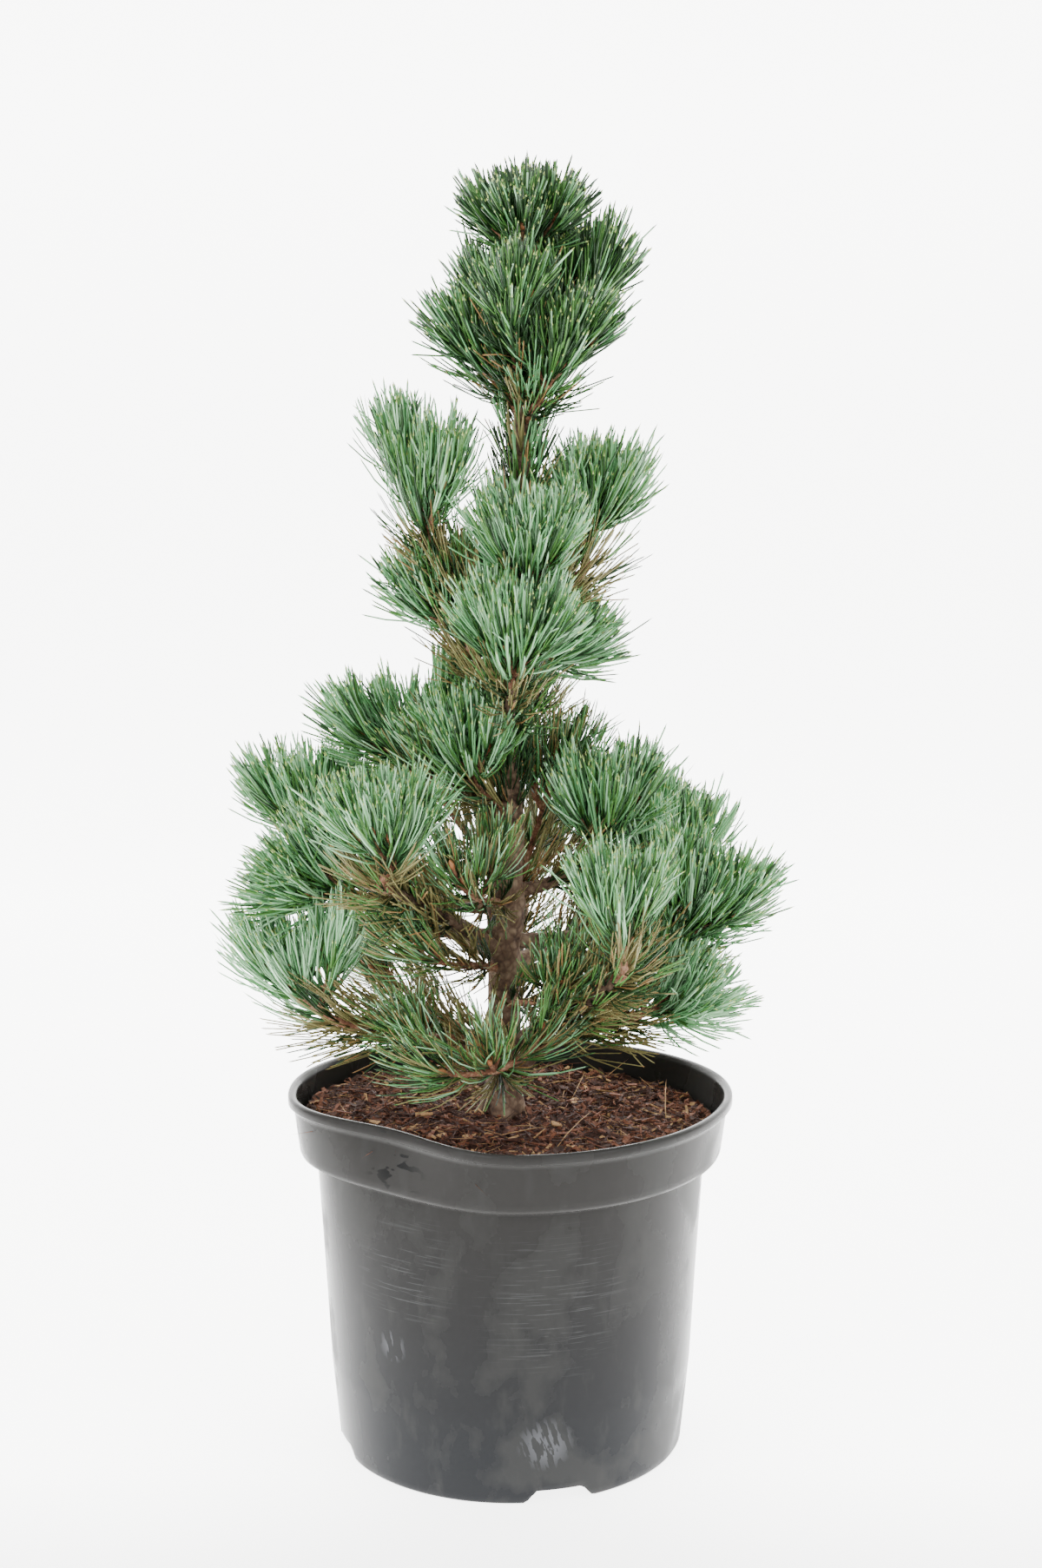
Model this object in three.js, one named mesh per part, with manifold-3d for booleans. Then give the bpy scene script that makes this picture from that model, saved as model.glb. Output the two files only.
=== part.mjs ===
// A Japanese white pine, 740 mm tall, standing in a dented dark nursery pot 260 mm wide.
// Millimetres, +Z up. The origin is the middle of the pot's flat underside, on the floor.
// A heading is a bearing and a climb in degrees: bearing 0 is +X (right) and 90 is +Y (back),
// climb 0 is level and 90 is straight up.
import * as THREE from 'three';
import { mergeVertices } from 'three/addons/utils/BufferGeometryUtils.js';
import Module from 'manifold-3d';

const wasm = await Module();
wasm.setup();

// Pot
const POT_HEIGHT = 214;
const POT_SEGMENTS = 36;
const WALL = 1.9;
const FOOT_RADIUS = 99.4;
const FLOOR_RADIUS = 60;        // the flat middle of the underside, which the pot stands on
const CHANNEL_HEIGHT = 9;       // the drain channel between that and the foot ring
const CHANNEL_SLANT = 2.5;      // how far its inner side leans out
const FOOT_RING = 2.2;          // width of the ring where it stands
const FOOT_RING_TOP = 0.4;      // and at the top of the channel
const BODY = [[101.4, 2], [106.2, 52], [109, 106], [113.5, 177]];
const COLLAR_BOTTOM = 178;
const COLLAR_RADIUS = 122;      // at its lower edge
const COLLAR_TOP_RADIUS = 127;
const COLLAR_EDGE = [[-1, 0], [1.5, 3]];        // its rounded lower edge, from that radius and height
const COLLAR_INSIDE = [[0, 0], [1.5, 1.5]];     // and the same inside
const COLLAR_INSIDE_LEAN = 3.2;
const LIP_RADIUS = 130;
const LIP_DEPTH = 6;
const LIP_ROUND = [1.5, 1];     // how far the rounding of its edges goes in and down
const NOTCHES = 4;
const NOTCH_BEARING = 286;
const NOTCH_FOOT_WIDTH = 41;
const NOTCH_TOP_WIDTH = 27;
const NOTCH_HEIGHT = 8;
const NOTCH_CUT = [12, 24];     // how far outside the foot a notch's cut starts, and how deep it goes
// The wall is pushed in at two places, which fade out down the wall to DENT_FROM.
const DENT_FROM = 90;
const DENTS = [
  { bearing: 232, depth: 23, halfWidth: 42, drop: 0 },
  { bearing: 88, depth: 20, halfWidth: 105, drop: 3.5 },
];

// Soil
const CLEARANCE = 0.3;          // between any two pieces that touch
const SOIL_LEVEL = 197;
const SOIL_TILT = 3.5;          // how much higher it lies at the left than in the middle
const SOIL_RELIEF = 1.4;
const SOIL_PATCH = 24;          // radius of the level patch under the trunk
const SOIL_RINGS = [0.78, 0.5];
const SOIL_FOOT = [1.5, 1.2];   // how far the soil keeps inside the pot's floor and off the channel

// Trunk: its axis and radius at each height. It leans a little to the right as it climbs, and it is
// cut off level where it meets the soil.
const TRUNK_SIDES = 10;
const TRUNK_RINGS = 16;
const TRUNK = [
  { height: SOIL_LEVEL - 3, x: -5, y: 1, radius: 13 },
  { height: 216, x: -4, y: 0, radius: 9.6 },
  { height: 296, x: -3.5, y: 0, radius: 9 },
  { height: 324, x: -2.6, y: 0, radius: 11.2 },
  { height: 340, x: -1.6, y: 0, radius: 8.2 },
  { height: 372, x: 1.1, y: 0, radius: 6.4 },
  { height: 428, x: -4.6, y: 0, radius: 6.1 },
  { height: 474, x: 1.2, y: 0, radius: 5.8 },
  { height: 562, x: 6.1, y: 0, radius: 5.2 },
  { height: 640, x: 9, y: 0, radius: 4.2 },
  { height: 684, x: 12, y: 0, radius: 3 },
];
const FLARE_ROOTS = 4;
const FLARE_DEPTH = 0.2;        // how far the root swellings stand out, as a share of the radius
const FLARE_HEIGHT = 26;

// Boughs: each leaves the trunk at a height and runs out by its reach and up by its rise.
// A negative bow makes it run out first and turn up at its end.
const BOUGH_SIDES = 6;
const BOUGH_RINGS = 4;
const BOUGHS = [
  { name: 'bough_top_right', height: 598, bearing: 23,
    reach: 23, rise: 42, bow: -3, root: 3.4, tip: 2.4 },
  { name: 'bough_left_high', height: 452, bearing: 184,
    reach: 34, rise: 63, bow: 3, root: 4.2, tip: 2.8 },
  { name: 'bough_right_high', height: 478, bearing: 15,
    reach: 36, rise: 31, bow: -4, root: 4, tip: 2.7 },
  { name: 'bough_front_high', height: 478, bearing: 281,
    reach: 41, rise: 26, bow: -5, root: 3.8, tip: 2.6 },
  { name: 'bough_front_mid', height: 420, bearing: 277,
    reach: 48, rise: 36, bow: -6, root: 4, tip: 2.7 },
  { name: 'bough_back_high', height: 470, bearing: 74,
    reach: 42, rise: 22, bow: -5, root: 3.8, tip: 2.6 },
  { name: 'bough_back_mid', height: 395, bearing: 74,
    reach: 52, rise: 37, bow: -6, root: 4, tip: 2.7 },
  { name: 'bough_left_upper', height: 372, bearing: 148,
    reach: 38, rise: 22, bow: -4, root: 3.8, tip: 2.7 },
  { name: 'bough_left_front', height: 292, bearing: 227,
    reach: 92, rise: 54, bow: 3, root: 5.4, tip: 3 },
  { name: 'bough_left', height: 302, bearing: 180,
    reach: 73, rise: 20, bow: -4, root: 4.4, tip: 2.9 },
  { name: 'bough_left_back', height: 320, bearing: 166,
    reach: 102, rise: 20, bow: -8, root: 4.4, tip: 2.9 },
  { name: 'bough_left_lowest', height: 226, bearing: 198,
    reach: 85, rise: 31, bow: 7, root: 4.8, tip: 3 },
  { name: 'bough_right_front', height: 236, bearing: 306,
    reach: 104, rise: 64, bow: -4, root: 5.6, tip: 3.2 },
  { name: 'bough_right_low', height: 220, bearing: 340,
    reach: 76, rise: 42, bow: 6, root: 4.6, tip: 3 },
  { name: 'bough_right', height: 276, bearing: 348,
    reach: 77, rise: 22, bow: 4, root: 5, tip: 3.1 },
  { name: 'bough_right_back', height: 300, bearing: 11,
    reach: 91, rise: 18, bow: -7, root: 4.6, tip: 3 },
  { name: 'bough_right_upper', height: 330, bearing: 2,
    reach: 46, rise: 18, bow: -5, root: 4.2, tip: 2.8 },
  { name: 'bough_back', height: 262, bearing: 83,
    reach: 93, rise: 34, bow: -6, root: 5, tip: 3.1 },
  { name: 'bough_back_left', height: 290, bearing: 128,
    reach: 94, rise: 26, bow: -7, root: 4.8, tip: 3 },
  { name: 'bough_back_right', height: 285, bearing: 49,
    reach: 103, rise: 27, bow: -7, root: 4.8, tip: 3 },
];

// Masses of needles: each has one stem that carries on from a bough's tip or leaves the trunk at a
// height. The stem runs along one heading, its leafy end points along another, and its side twigs
// leave in a whorl just below that end, tilted out by the spread, the first towards the turn.
const MASSES = [
  { name: 'mass_top', on: 'trunk_tip', stem: [186, 50, 10], end: [262, 82],
    twigs: 4, turn: 165, spread: 50, needle: 33 },
  { name: 'mass_top_front', on: 604, stem: [257, 55, 54], end: [230, 76],
    twigs: 1, turn: 300, needle: 36 },
  { name: 'mass_top_left', on: 600, stem: [193, 54, 29], end: [170, 70],
    twigs: 2, turn: 190, spread: 28, needle: 40 },
  { name: 'mass_top_front_right', on: 596, stem: [303, 43, 41], end: [300, 74],
    twigs: 2, turn: 350, needle: 38 },
  { name: 'mass_top_back', on: 610, stem: [112, 52, 48], end: [103, 72],
    twigs: 2, turn: 42, needle: 40 },
  { name: 'mass_top_right', on: 'bough_top_right', stem: [21, 60, 17], end: [10, 80],
    twigs: 2, turn: 0, spread: 22 },
  { name: 'mass_left_high', on: 'bough_left_high', stem: [203, 64, 33], end: [270, 80],
    twigs: 2, turn: 136, twig: 22, spread: 26 },
  { name: 'mass_right_high', on: 'bough_right_high', stem: [9, 78, 27], end: [340, 76],
    twigs: 3, turn: 345 },
  { name: 'mass_front_high', on: 'bough_front_high', stem: [281, 41, 14], end: [270, 68],
    twigs: 2, turn: 329 },
  { name: 'mass_front_mid', on: 'bough_front_mid', stem: [270, 40, 16], end: [270, 68],
    twigs: 2, turn: 335 },
  { name: 'mass_back_high', on: 'bough_back_high', stem: [76, 60, 20], end: [74, 66],
    twigs: 2, turn: 50 },
  { name: 'mass_back_mid', on: 'bough_back_mid', stem: [68, 56, 19], end: [73, 64],
    twigs: 2, turn: 31 },
  { name: 'mass_left_mid', on: 436, stem: [166, 60, 52], end: [176, 64],
    twigs: 2, turn: 200, needle: 43 },
  { name: 'mass_right_mid', on: 452, stem: [30, 26, 23], end: [5, 30],
    twigs: 2, turn: 18, needle: 38 },
  { name: 'mass_left_upper', on: 'bough_left_upper', stem: [172, 19, 28], end: [150, 62],
    twigs: 2, turn: 190, twig: 20, spread: 46 },
  { name: 'mass_front_left_upper', on: 374, stem: [206, 43, 36], end: [230, 66],
    twigs: 2, turn: 330 },
  { name: 'mass_left_inner', on: 334, stem: [180, 54, 60], end: [150, 84],
    twigs: 1, turn: 185, needle: 38 },
  { name: 'mass_right_inner', on: 306, stem: [39, 68, 83], end: [20, 80],
    twigs: 2, turn: 10 },
  { name: 'mass_right_upper', on: 'bough_right_upper', stem: [349, 54, 17], end: [320, 78],
    twigs: 2, turn: 20 },
  { name: 'mass_left_front', on: 'bough_left_front', stem: [290, 62, 20], end: [260, 78],
    twigs: 2, turn: 200 },
  { name: 'mass_left', on: 'bough_left', stem: [203, 28, 28], end: [185, 22],
    twigs: 2, turn: 190, spread: 44 },
  { name: 'mass_left_back', on: 'bough_left_back', stem: [184, 58, 22], end: [140, 74],
    twigs: 2, turn: 180, spread: 44 },
  { name: 'mass_left_lowest', on: 'bough_left_lowest', stem: [169, 22, 34], end: [190, 66],
    twigs: 2, turn: 176, twig: 18 },
  { name: 'mass_front_inner', on: 322, stem: [254, 17, 64], end: [250, 62],
    twigs: 2, turn: 200, needle: 33 },
  { name: 'mass_front_left', on: 284, stem: [234, 16, 60], end: [200, 50],
    twigs: 1, turn: 195, needle: 38 },
  { name: 'mass_front_left_low', on: 241, stem: [226, 14, 62], end: [215, 20],
    twigs: 1, turn: 280, needle: 35 },
  { name: 'mass_front_low', on: 224, stem: [266, 16, 72], end: [262, 44],
    twigs: 2, turn: 208, twig: 24, spread: 66 },
  { name: 'mass_front_right_low', on: 262, stem: [295, 18, 68], end: [272, 56],
    twigs: 1, turn: 326, needle: 38 },
  { name: 'mass_right_front', on: 'bough_right_front', stem: [276, 64, 27], end: [277, 80],
    twigs: 2, turn: 216, spread: 28 },
  { name: 'mass_right_low', on: 'bough_right_low', stem: [350, 26, 17], end: [350, 42],
    twigs: 2, turn: 330, spread: 46 },
  { name: 'mass_right', on: 'bough_right', stem: [343, 24, 34], end: [342, 62],
    twigs: 2, turn: 344, twig: 16 },
  { name: 'mass_right_back', on: 'bough_right_back', stem: [12, 42, 14], end: [90, 80],
    twigs: 2, turn: 23 },
  { name: 'mass_back', on: 'bough_back', stem: [84, 38, 23], end: [83, 60],
    twigs: 2, turn: 30, twig: 18 },
  { name: 'mass_back_left', on: 'bough_back_left', stem: [131, 37, 27], end: [131, 56],
    twigs: 2, turn: 170, twig: 18 },
  { name: 'mass_back_right', on: 'bough_back_right', stem: [49, 37, 27], end: [49, 56],
    twigs: 2, turn: 100, twig: 18 },
  { name: 'mass_back_left_low', on: 232, stem: [140, 18, 92], end: [154, 30],
    twigs: 1, turn: 110, twig: 18 },
  { name: 'mass_back_right_low', on: 238, stem: [40, 17, 98], end: [32, 30],
    twigs: 1, turn: 60, twig: 18 },
];
const MASS_DEFAULTS = { twig: 12, spread: 34, needle: 43 };
const STEM_SIDES = 4;
const TWIG_SIDES = 3;
const STEM_RADIUS = 2.5;        // of a stem that leaves the trunk
const SHOOT_RADIUS = 1.9;       // of any stem or twig where its needles begin
const BUD_RADIUS = 0.9;
const LEAFY_LENGTH = 13;        // the end of a stem or twig that this year's needles stand out of
const LEAFY_BANDS = 3;
const OLD_LENGTH = 23;          // the stretch below it that still has some of last year's
const OLD_STEP = 10;            // between the short bands of it that they stand out of
const OLD_BAND = 3;
const OLD_SHARE = 0.6;
const OLD_NEEDLE = 0.85;        // their length, as a share of this year's
const OLD_SPLAY = 62;           // degrees from the stem
const WHORL_STEP = 6;           // between the side twigs of a whorl, along the stem
const SPLAY_LOW = 37;           // of this year's needles, where they begin
const SPLAY_HIGH = 9;           // and at the bud
const LIFT = 0.35;              // how far a side twig turns up towards its end
const LIMB_GAP = 1.2;           // between a needle and any limb
const SPACE_GAP = 2;            // between a needle and the spaces of the other masses
const NEEDLE_RADIUS = 1.3;      // at its root
const NEEDLE_GAP = 0.2;
const SOIL_GAP = 3;
const RIM_ZONE = [108, 136];    // no needle comes lower than the rim between these radii
const TRIMS = [1, 0.8, 0.6];    // a needle that leaves its space is tried again at these lengths
const SEED = 5;
const SEED_STEP = 97;           // between the seeds of two masses
const TURN_JITTER = 16;         // degrees, over the whole range, and so are the next two
const SPREAD_JITTER = 10;
const SPLAY_JITTER = 5;
const TWIG_REACH = [0.9, 0.2];  // the least share of its length that a twig has, and the range above
const NEEDLE_REACH = [0.94, 0.12];
const LOWEST_TWIG = 0.3;        // share of the stem below which no side twig leaves
const LOWEST_OLD = 0.2;         // share below which no old needles stand
const RUN_STEP = 12;            // length of the stretches that a limb is measured in
const HALVINGS = 30;
const NEEDLE_CHECKS = [0.25, 0.5, 0.75, 1];

const COLOURS = {
  pot: { color: 0x35363a, roughness: 0.42 },
  soil: { color: 0x4b2f20, roughness: 0.95 },
  bark: { color: 0x5f4d40, roughness: 0.9 },
  bough: { color: 0x6b5240, roughness: 0.85 },
  needle: { color: 0x6f9482, roughness: 0.5 },
};

const tree = new THREE.Group();
const UP = new THREE.Vector3(0, 0, 1);

// Numbers between 0 and 1 from a seed, the same on each run.
function seededNumbers(seed) {
  let state = seed;
  return () => {
    state = (state * 1664525 + 1013904223) % 4294967296;
    return state / 4294967296;
  };
}

// The unit vector of a heading.
function heading(bearing, climb) {
  const turn = THREE.MathUtils.degToRad(bearing);
  const lift = THREE.MathUtils.degToRad(climb);
  const level = Math.cos(lift);
  return new THREE.Vector3(level * Math.cos(turn), level * Math.sin(turn), Math.sin(lift));
}

function along(point, direction, distance) {
  return point.clone().addScaledVector(direction, distance);
}

// A closed mesh with nothing but merged positions.
function plainMesh(geometry) {
  geometry.deleteAttribute('normal');
  geometry.deleteAttribute('uv');
  return mergeVertices(geometry);
}

function toSolid(geometry) {
  return new wasm.Manifold(new wasm.Mesh({
    numProp: 3,
    vertProperties: new Float32Array(geometry.attributes.position.array),
    triVerts: new Uint32Array(geometry.index.array),
  }));
}

function toGeometry(solid) {
  const mesh = solid.getMesh();
  const geometry = new THREE.BufferGeometry();
  geometry.setAttribute('position', new THREE.BufferAttribute(mesh.vertProperties, 3));
  geometry.setIndex(new THREE.BufferAttribute(mesh.triVerts, 1));
  return geometry;
}

// Adds a piece whose geometry is worked out round its own root point.
function addPiece(name, geometry, finish, root = new THREE.Vector3()) {
  const mesh = new THREE.Mesh(geometry, new THREE.MeshStandardMaterial({ ...finish, metalness: 0 }));
  geometry.computeVertexNormals();
  mesh.name = name;
  mesh.position.copy(root);
  tree.add(mesh);
}

// How far a bearing lies inside a dent: 1 at its middle and 0 past its half width.
function dentShare(dent, bearing) {
  const away = Math.abs(((bearing - dent.bearing + 540) % 360) - 180);
  return away < dent.halfWidth ? Math.cos((away / dent.halfWidth) * (Math.PI / 2)) ** 2 : 0;
}

// Moves each point of a turned piece inwards where the pot is dented.
function dentWall(geometry) {
  const place = geometry.attributes.position;
  for (let i = 0; i < place.count; i += 1) {
    const [x, y, z] = [place.getX(i), place.getY(i), place.getZ(i)];
    const bearing = THREE.MathUtils.radToDeg(Math.atan2(y, x));
    const fade = Math.max(0, (z - DENT_FROM) / (POT_HEIGHT - DENT_FROM)) ** 2;
    let inward = 0;
    let lower = 0;
    for (const dent of DENTS) {
      inward += dent.depth * fade * dentShare(dent, bearing);
      lower += dent.drop * fade * dentShare(dent, bearing);
    }
    const scale = 1 - inward / LIP_RADIUS;
    place.setXYZ(i, x * scale, y * scale, z - lower);
  }
  return geometry;
}

// A profile of [radius, height] pairs turned round the pot's axis, its outside first from the bottom
// up. With its facets mirrored it lies flat against the inside of one that isn't.
function turned(profile, mirrored = false) {
  const points = profile.map(([r, z]) => new THREE.Vector2(r, z));
  const lathe = plainMesh(new THREE.LatheGeometry(points, POT_SEGMENTS).rotateX(Math.PI / 2));
  if (mirrored) {
    lathe.scale(1, -1, 1);
    lathe.index.array.reverse();
  }
  return lathe;
}

// The inside of the wall from the floor's edge to the collar, and that of the collar to its middle.
function innerWall(clearance) {
  return BODY.slice(1).map(([r, z]) => [r - WALL - clearance, z]);
}

function innerCollar(clearance) {
  const ledge = COLLAR_BOTTOM + WALL + clearance;
  const low = COLLAR_RADIUS - WALL - clearance;
  const corner = COLLAR_INSIDE.map(([r, z]) => [low + r, ledge + z]);
  return [...corner, [low + COLLAR_INSIDE_LEAN, SOIL_LEVEL]];
}

function makePot() {
  const lipLow = POT_HEIGHT - LIP_DEPTH;
  const [inset, round] = LIP_ROUND;
  const profile = [
    [0, 0], [FLOOR_RADIUS, 0], [FLOOR_RADIUS + CHANNEL_SLANT, CHANNEL_HEIGHT],
    [FOOT_RADIUS - FOOT_RING_TOP, CHANNEL_HEIGHT], [FOOT_RADIUS - FOOT_RING, 0], [FOOT_RADIUS, 0],
    ...BODY,
    ...COLLAR_EDGE.map(([r, z]) => [COLLAR_RADIUS + r, COLLAR_BOTTOM + z]),
    [COLLAR_TOP_RADIUS, lipLow], [LIP_RADIUS, lipLow + round], [LIP_RADIUS, POT_HEIGHT - round],
    [LIP_RADIUS - inset, POT_HEIGHT], [COLLAR_TOP_RADIUS - WALL, POT_HEIGHT - round],
    ...innerCollar(0).reverse(), ...innerWall(0).reverse(),
    [FOOT_RADIUS, CHANNEL_HEIGHT + WALL], [FLOOR_RADIUS + CHANNEL_SLANT - 1, CHANNEL_HEIGHT + WALL],
    [FLOOR_RADIUS - 1, WALL], [0, WALL],
  ];
  const wall = toSolid(dentWall(turned(profile)));
  const shape = new THREE.Shape();
  shape.moveTo(-NOTCH_FOOT_WIDTH / 2, -1);
  shape.lineTo(NOTCH_FOOT_WIDTH / 2, -1);
  shape.lineTo(NOTCH_TOP_WIDTH / 2, NOTCH_HEIGHT);
  shape.lineTo(-NOTCH_TOP_WIDTH / 2, NOTCH_HEIGHT);
  let pot = wall;
  for (let i = 0; i < NOTCHES; i += 1) {
    const cut = new THREE.ExtrudeGeometry(shape, { depth: NOTCH_CUT[1], bevelEnabled: false });
    cut.rotateX(Math.PI / 2).translate(0, FOOT_RADIUS + NOTCH_CUT[0], 0);
    cut.rotateZ(THREE.MathUtils.degToRad(NOTCH_BEARING - 90 + (i * 360) / NOTCHES));
    pot = pot.subtract(toSolid(plainMesh(cut)));
  }
  addPiece('pot', toGeometry(pot), COLOURS.pot);
}

function soilHeight(x, y) {
  const waves = Math.sin(x / 11 + y / 17) + Math.sin(y / 9 - x / 23) + Math.sin((x + y) / 6.5);
  return SOIL_LEVEL - (SOIL_TILT * x) / COLLAR_RADIUS + (SOIL_RELIEF * waves) / 2;
}

function makeSoil() {
  const floor = WALL + CLEARANCE;
  const rings = SOIL_RINGS.map((share) => [COLLAR_RADIUS * share, SOIL_LEVEL]);
  const profile = [
    [0, floor], [FLOOR_RADIUS - SOIL_FOOT[0], floor], [FLOOR_RADIUS + SOIL_FOOT[1], CHANNEL_HEIGHT + floor],
    [FOOT_RADIUS - FOOT_RING_TOP, CHANNEL_HEIGHT + floor], ...innerWall(CLEARANCE), ...innerCollar(CLEARANCE),
    ...rings, [SOIL_PATCH, SOIL_LEVEL], [0, SOIL_LEVEL],
  ];
  const soil = turned(profile, true);
  const place = soil.attributes.position;
  for (let i = 0; i < place.count; i += 1) {
    const [x, y, z] = [place.getX(i), place.getY(i), place.getZ(i)];
    const radius = Math.hypot(x, y);
    if (z === SOIL_LEVEL && radius > SOIL_PATCH + 1 && radius < COLLAR_RADIUS - 1) {
      place.setZ(i, soilHeight(x, y));
    }
  }
  addPiece('soil', dentWall(soil), COLOURS.soil);
}

// A tube that follows a curve, with its rings at the given shares of the curve's length. Each ring
// has the radius that radiusAt gives. Where needleFrom gives a point for a face of the tube, from
// its middle, its share and the ring below it, that face is drawn out to the point, so that the
// needle is one with the tube.
function limb(curve, radiusAt, sides, shares, needleFrom = () => null) {
  const tube = plainMesh(new THREE.CylinderGeometry(1, 1, 1, sides, shares.length - 1));
  const place = tube.attributes.position;
  const chord = curve.getPoint(1).sub(curve.getPoint(0)).normalize();
  const side = Math.abs(chord.z) < 0.9 ? UP.clone().cross(chord) : new THREE.Vector3(1, 0, 0);
  const share = [];
  const points = [];
  for (let i = 0; i < place.count; i += 1) {
    const s = shares[Math.round((place.getY(i) + 0.5) * (shares.length - 1))];
    const tangent = curve.getTangentAt(s);
    const normal = side.clone().addScaledVector(tangent, -side.dot(tangent)).normalize();
    const binormal = normal.clone().cross(tangent);
    const [x, z] = [place.getX(i), place.getZ(i)];
    const radius = radiusAt(s, Math.atan2(z, x));
    share.push(s);
    const point = along(curve.getPointAt(s), normal, x * radius);
    points.push(point.addScaledVector(binormal, z * radius));
  }
  const triangles = [];
  for (let i = 0; i < tube.index.count; i += 3) {
    const [a, b, c] = [0, 1, 2].map((k) => tube.index.getX(i + k));
    const middle = points[a].clone().add(points[b]).add(points[c]).divideScalar(3);
    const low = Math.min(share[a], share[b], share[c]);
    const isCap = low === Math.max(share[a], share[b], share[c]);
    const ring = isCap && low === 0 ? -1 : shares.indexOf(low);
    const tip = needleFrom(middle, (share[a] + share[b] + share[c]) / 3, ring);
    if (tip) {
      points.push(tip);
      const apex = points.length - 1;
      triangles.push(a, b, apex, b, c, apex, c, a, apex);
    } else {
      triangles.push(a, b, c);
    }
  }
  const geometry = new THREE.BufferGeometry().setFromPoints(points);
  geometry.setIndex(triangles);
  return geometry;
}

function evenShares(rings) {
  return Array.from({ length: rings + 1 }, (_, i) => i / rings);
}

const trunkCurve = new THREE.CatmullRomCurve3(TRUNK.map((s) => new THREE.Vector3(s.x, s.y, s.height)));

// The trunk's radius at a height, worked out between the stations on either side.
function trunkRadius(height) {
  const above = Math.max(1, TRUNK.findIndex((station) => station.height >= height));
  const [low, high] = [TRUNK[above - 1], TRUNK[above]];
  return THREE.MathUtils.mapLinear(height, low.height, high.height, low.radius, high.radius);
}

// The point of the trunk's axis at a height. The trunk climbs steadily, so a share is halved down to it.
function trunkPoint(height) {
  let [low, high] = [0, 1];
  for (let i = 0; i < HALVINGS; i += 1) {
    const middle = (low + high) / 2;
    [low, high] = trunkCurve.getPointAt(middle).z < height ? [middle, high] : [low, middle];
  }
  return trunkCurve.getPointAt(low);
}

function trunkGeometry(grown) {
  const radiusAt = (s, angle) => {
    const height = trunkCurve.getPointAt(s).z;
    const flare = Math.max(0, 1 - (height - SOIL_LEVEL) / FLARE_HEIGHT) ** 2;
    const roots = FLARE_DEPTH * flare * Math.cos(FLARE_ROOTS * angle);
    return trunkRadius(Math.min(height, TRUNK.at(-1).height)) * (1 + roots) + grown;
  };
  return limb(trunkCurve, radiusAt, TRUNK_SIDES, evenShares(TRUNK_RINGS));
}

// Runs of points down the middle of each limb, with its radius, that needles keep clear of.
const limbRuns = [];

function recordRun(owner, curve, radiusAt) {
  const steps = Math.max(2, Math.ceil(curve.getLength() / RUN_STEP));
  for (let i = 0; i < steps; i += 1) {
    const [s, e] = [i / steps, (i + 1) / steps];
    const line = new THREE.Line3(curve.getPointAt(s), curve.getPointAt(e));
    limbRuns.push({ owner, curve, line, radius: Math.max(radiusAt(s, 0), radiusAt(e, 0)) });
  }
}

const trunkSkin = toSolid(trunkGeometry(CLEARANCE));

function makeTrunk() {
  const whole = toSolid(trunkGeometry(0));
  addPiece('trunk', toGeometry(whole.trimByPlane([0, 0, 1], SOIL_LEVEL + CLEARANCE)), COLOURS.bark);
  const lowest = TRUNK[0].height;
  const highest = TRUNK.at(-1).height;
  recordRun('trunk', trunkCurve, (s) => trunkRadius(THREE.MathUtils.lerp(lowest, highest, s)));
}

const boughCurves = new Map();

// The curve of a bough, from the trunk's axis to its tip.
function boughCurve({ height, bearing, reach, rise, bow }) {
  const root = trunkPoint(height);
  const tip = along(root, heading(bearing, 0), reach).setZ(height + rise);
  const middle = root.clone().lerp(tip, 0.5);
  middle.z += bow;
  return new THREE.CatmullRomCurve3([root, middle, tip]);
}

function makeBough(bough) {
  const curve = boughCurve(bough);
  const radiusAt = (s) => THREE.MathUtils.lerp(bough.root, bough.tip, s);
  const geometry = limb(curve, radiusAt, BOUGH_SIDES, evenShares(BOUGH_RINGS));
  const root = curve.getPoint(0);
  const cut = toGeometry(toSolid(geometry).subtract(trunkSkin)).translate(-root.x, -root.y, -root.z);
  addPiece(bough.name, cut, COLOURS.bough, root);
  boughCurves.set(bough.name, { curve, radius: bough.tip });
  recordRun(bough.name, curve, radiusAt);
}

// Where a mass's stem begins, which way it sets out, and its radius there.
function stemRoot(mass) {
  const first = heading(mass.stem[0], mass.stem[1]);
  if (typeof mass.on === 'number') {
    return { point: trunkPoint(mass.on), first, radius: STEM_RADIUS, onTrunk: true };
  }
  const limbEnd = mass.on === 'trunk_tip'
    ? { curve: trunkCurve, radius: TRUNK.at(-1).radius }
    : boughCurves.get(mass.on);
  const direction = limbEnd.curve.getTangentAt(1);
  return {
    point: along(limbEnd.curve.getPoint(1), direction, CLEARANCE),
    first: direction,
    radius: limbEnd.radius,
    onTrunk: false,
  };
}

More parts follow.
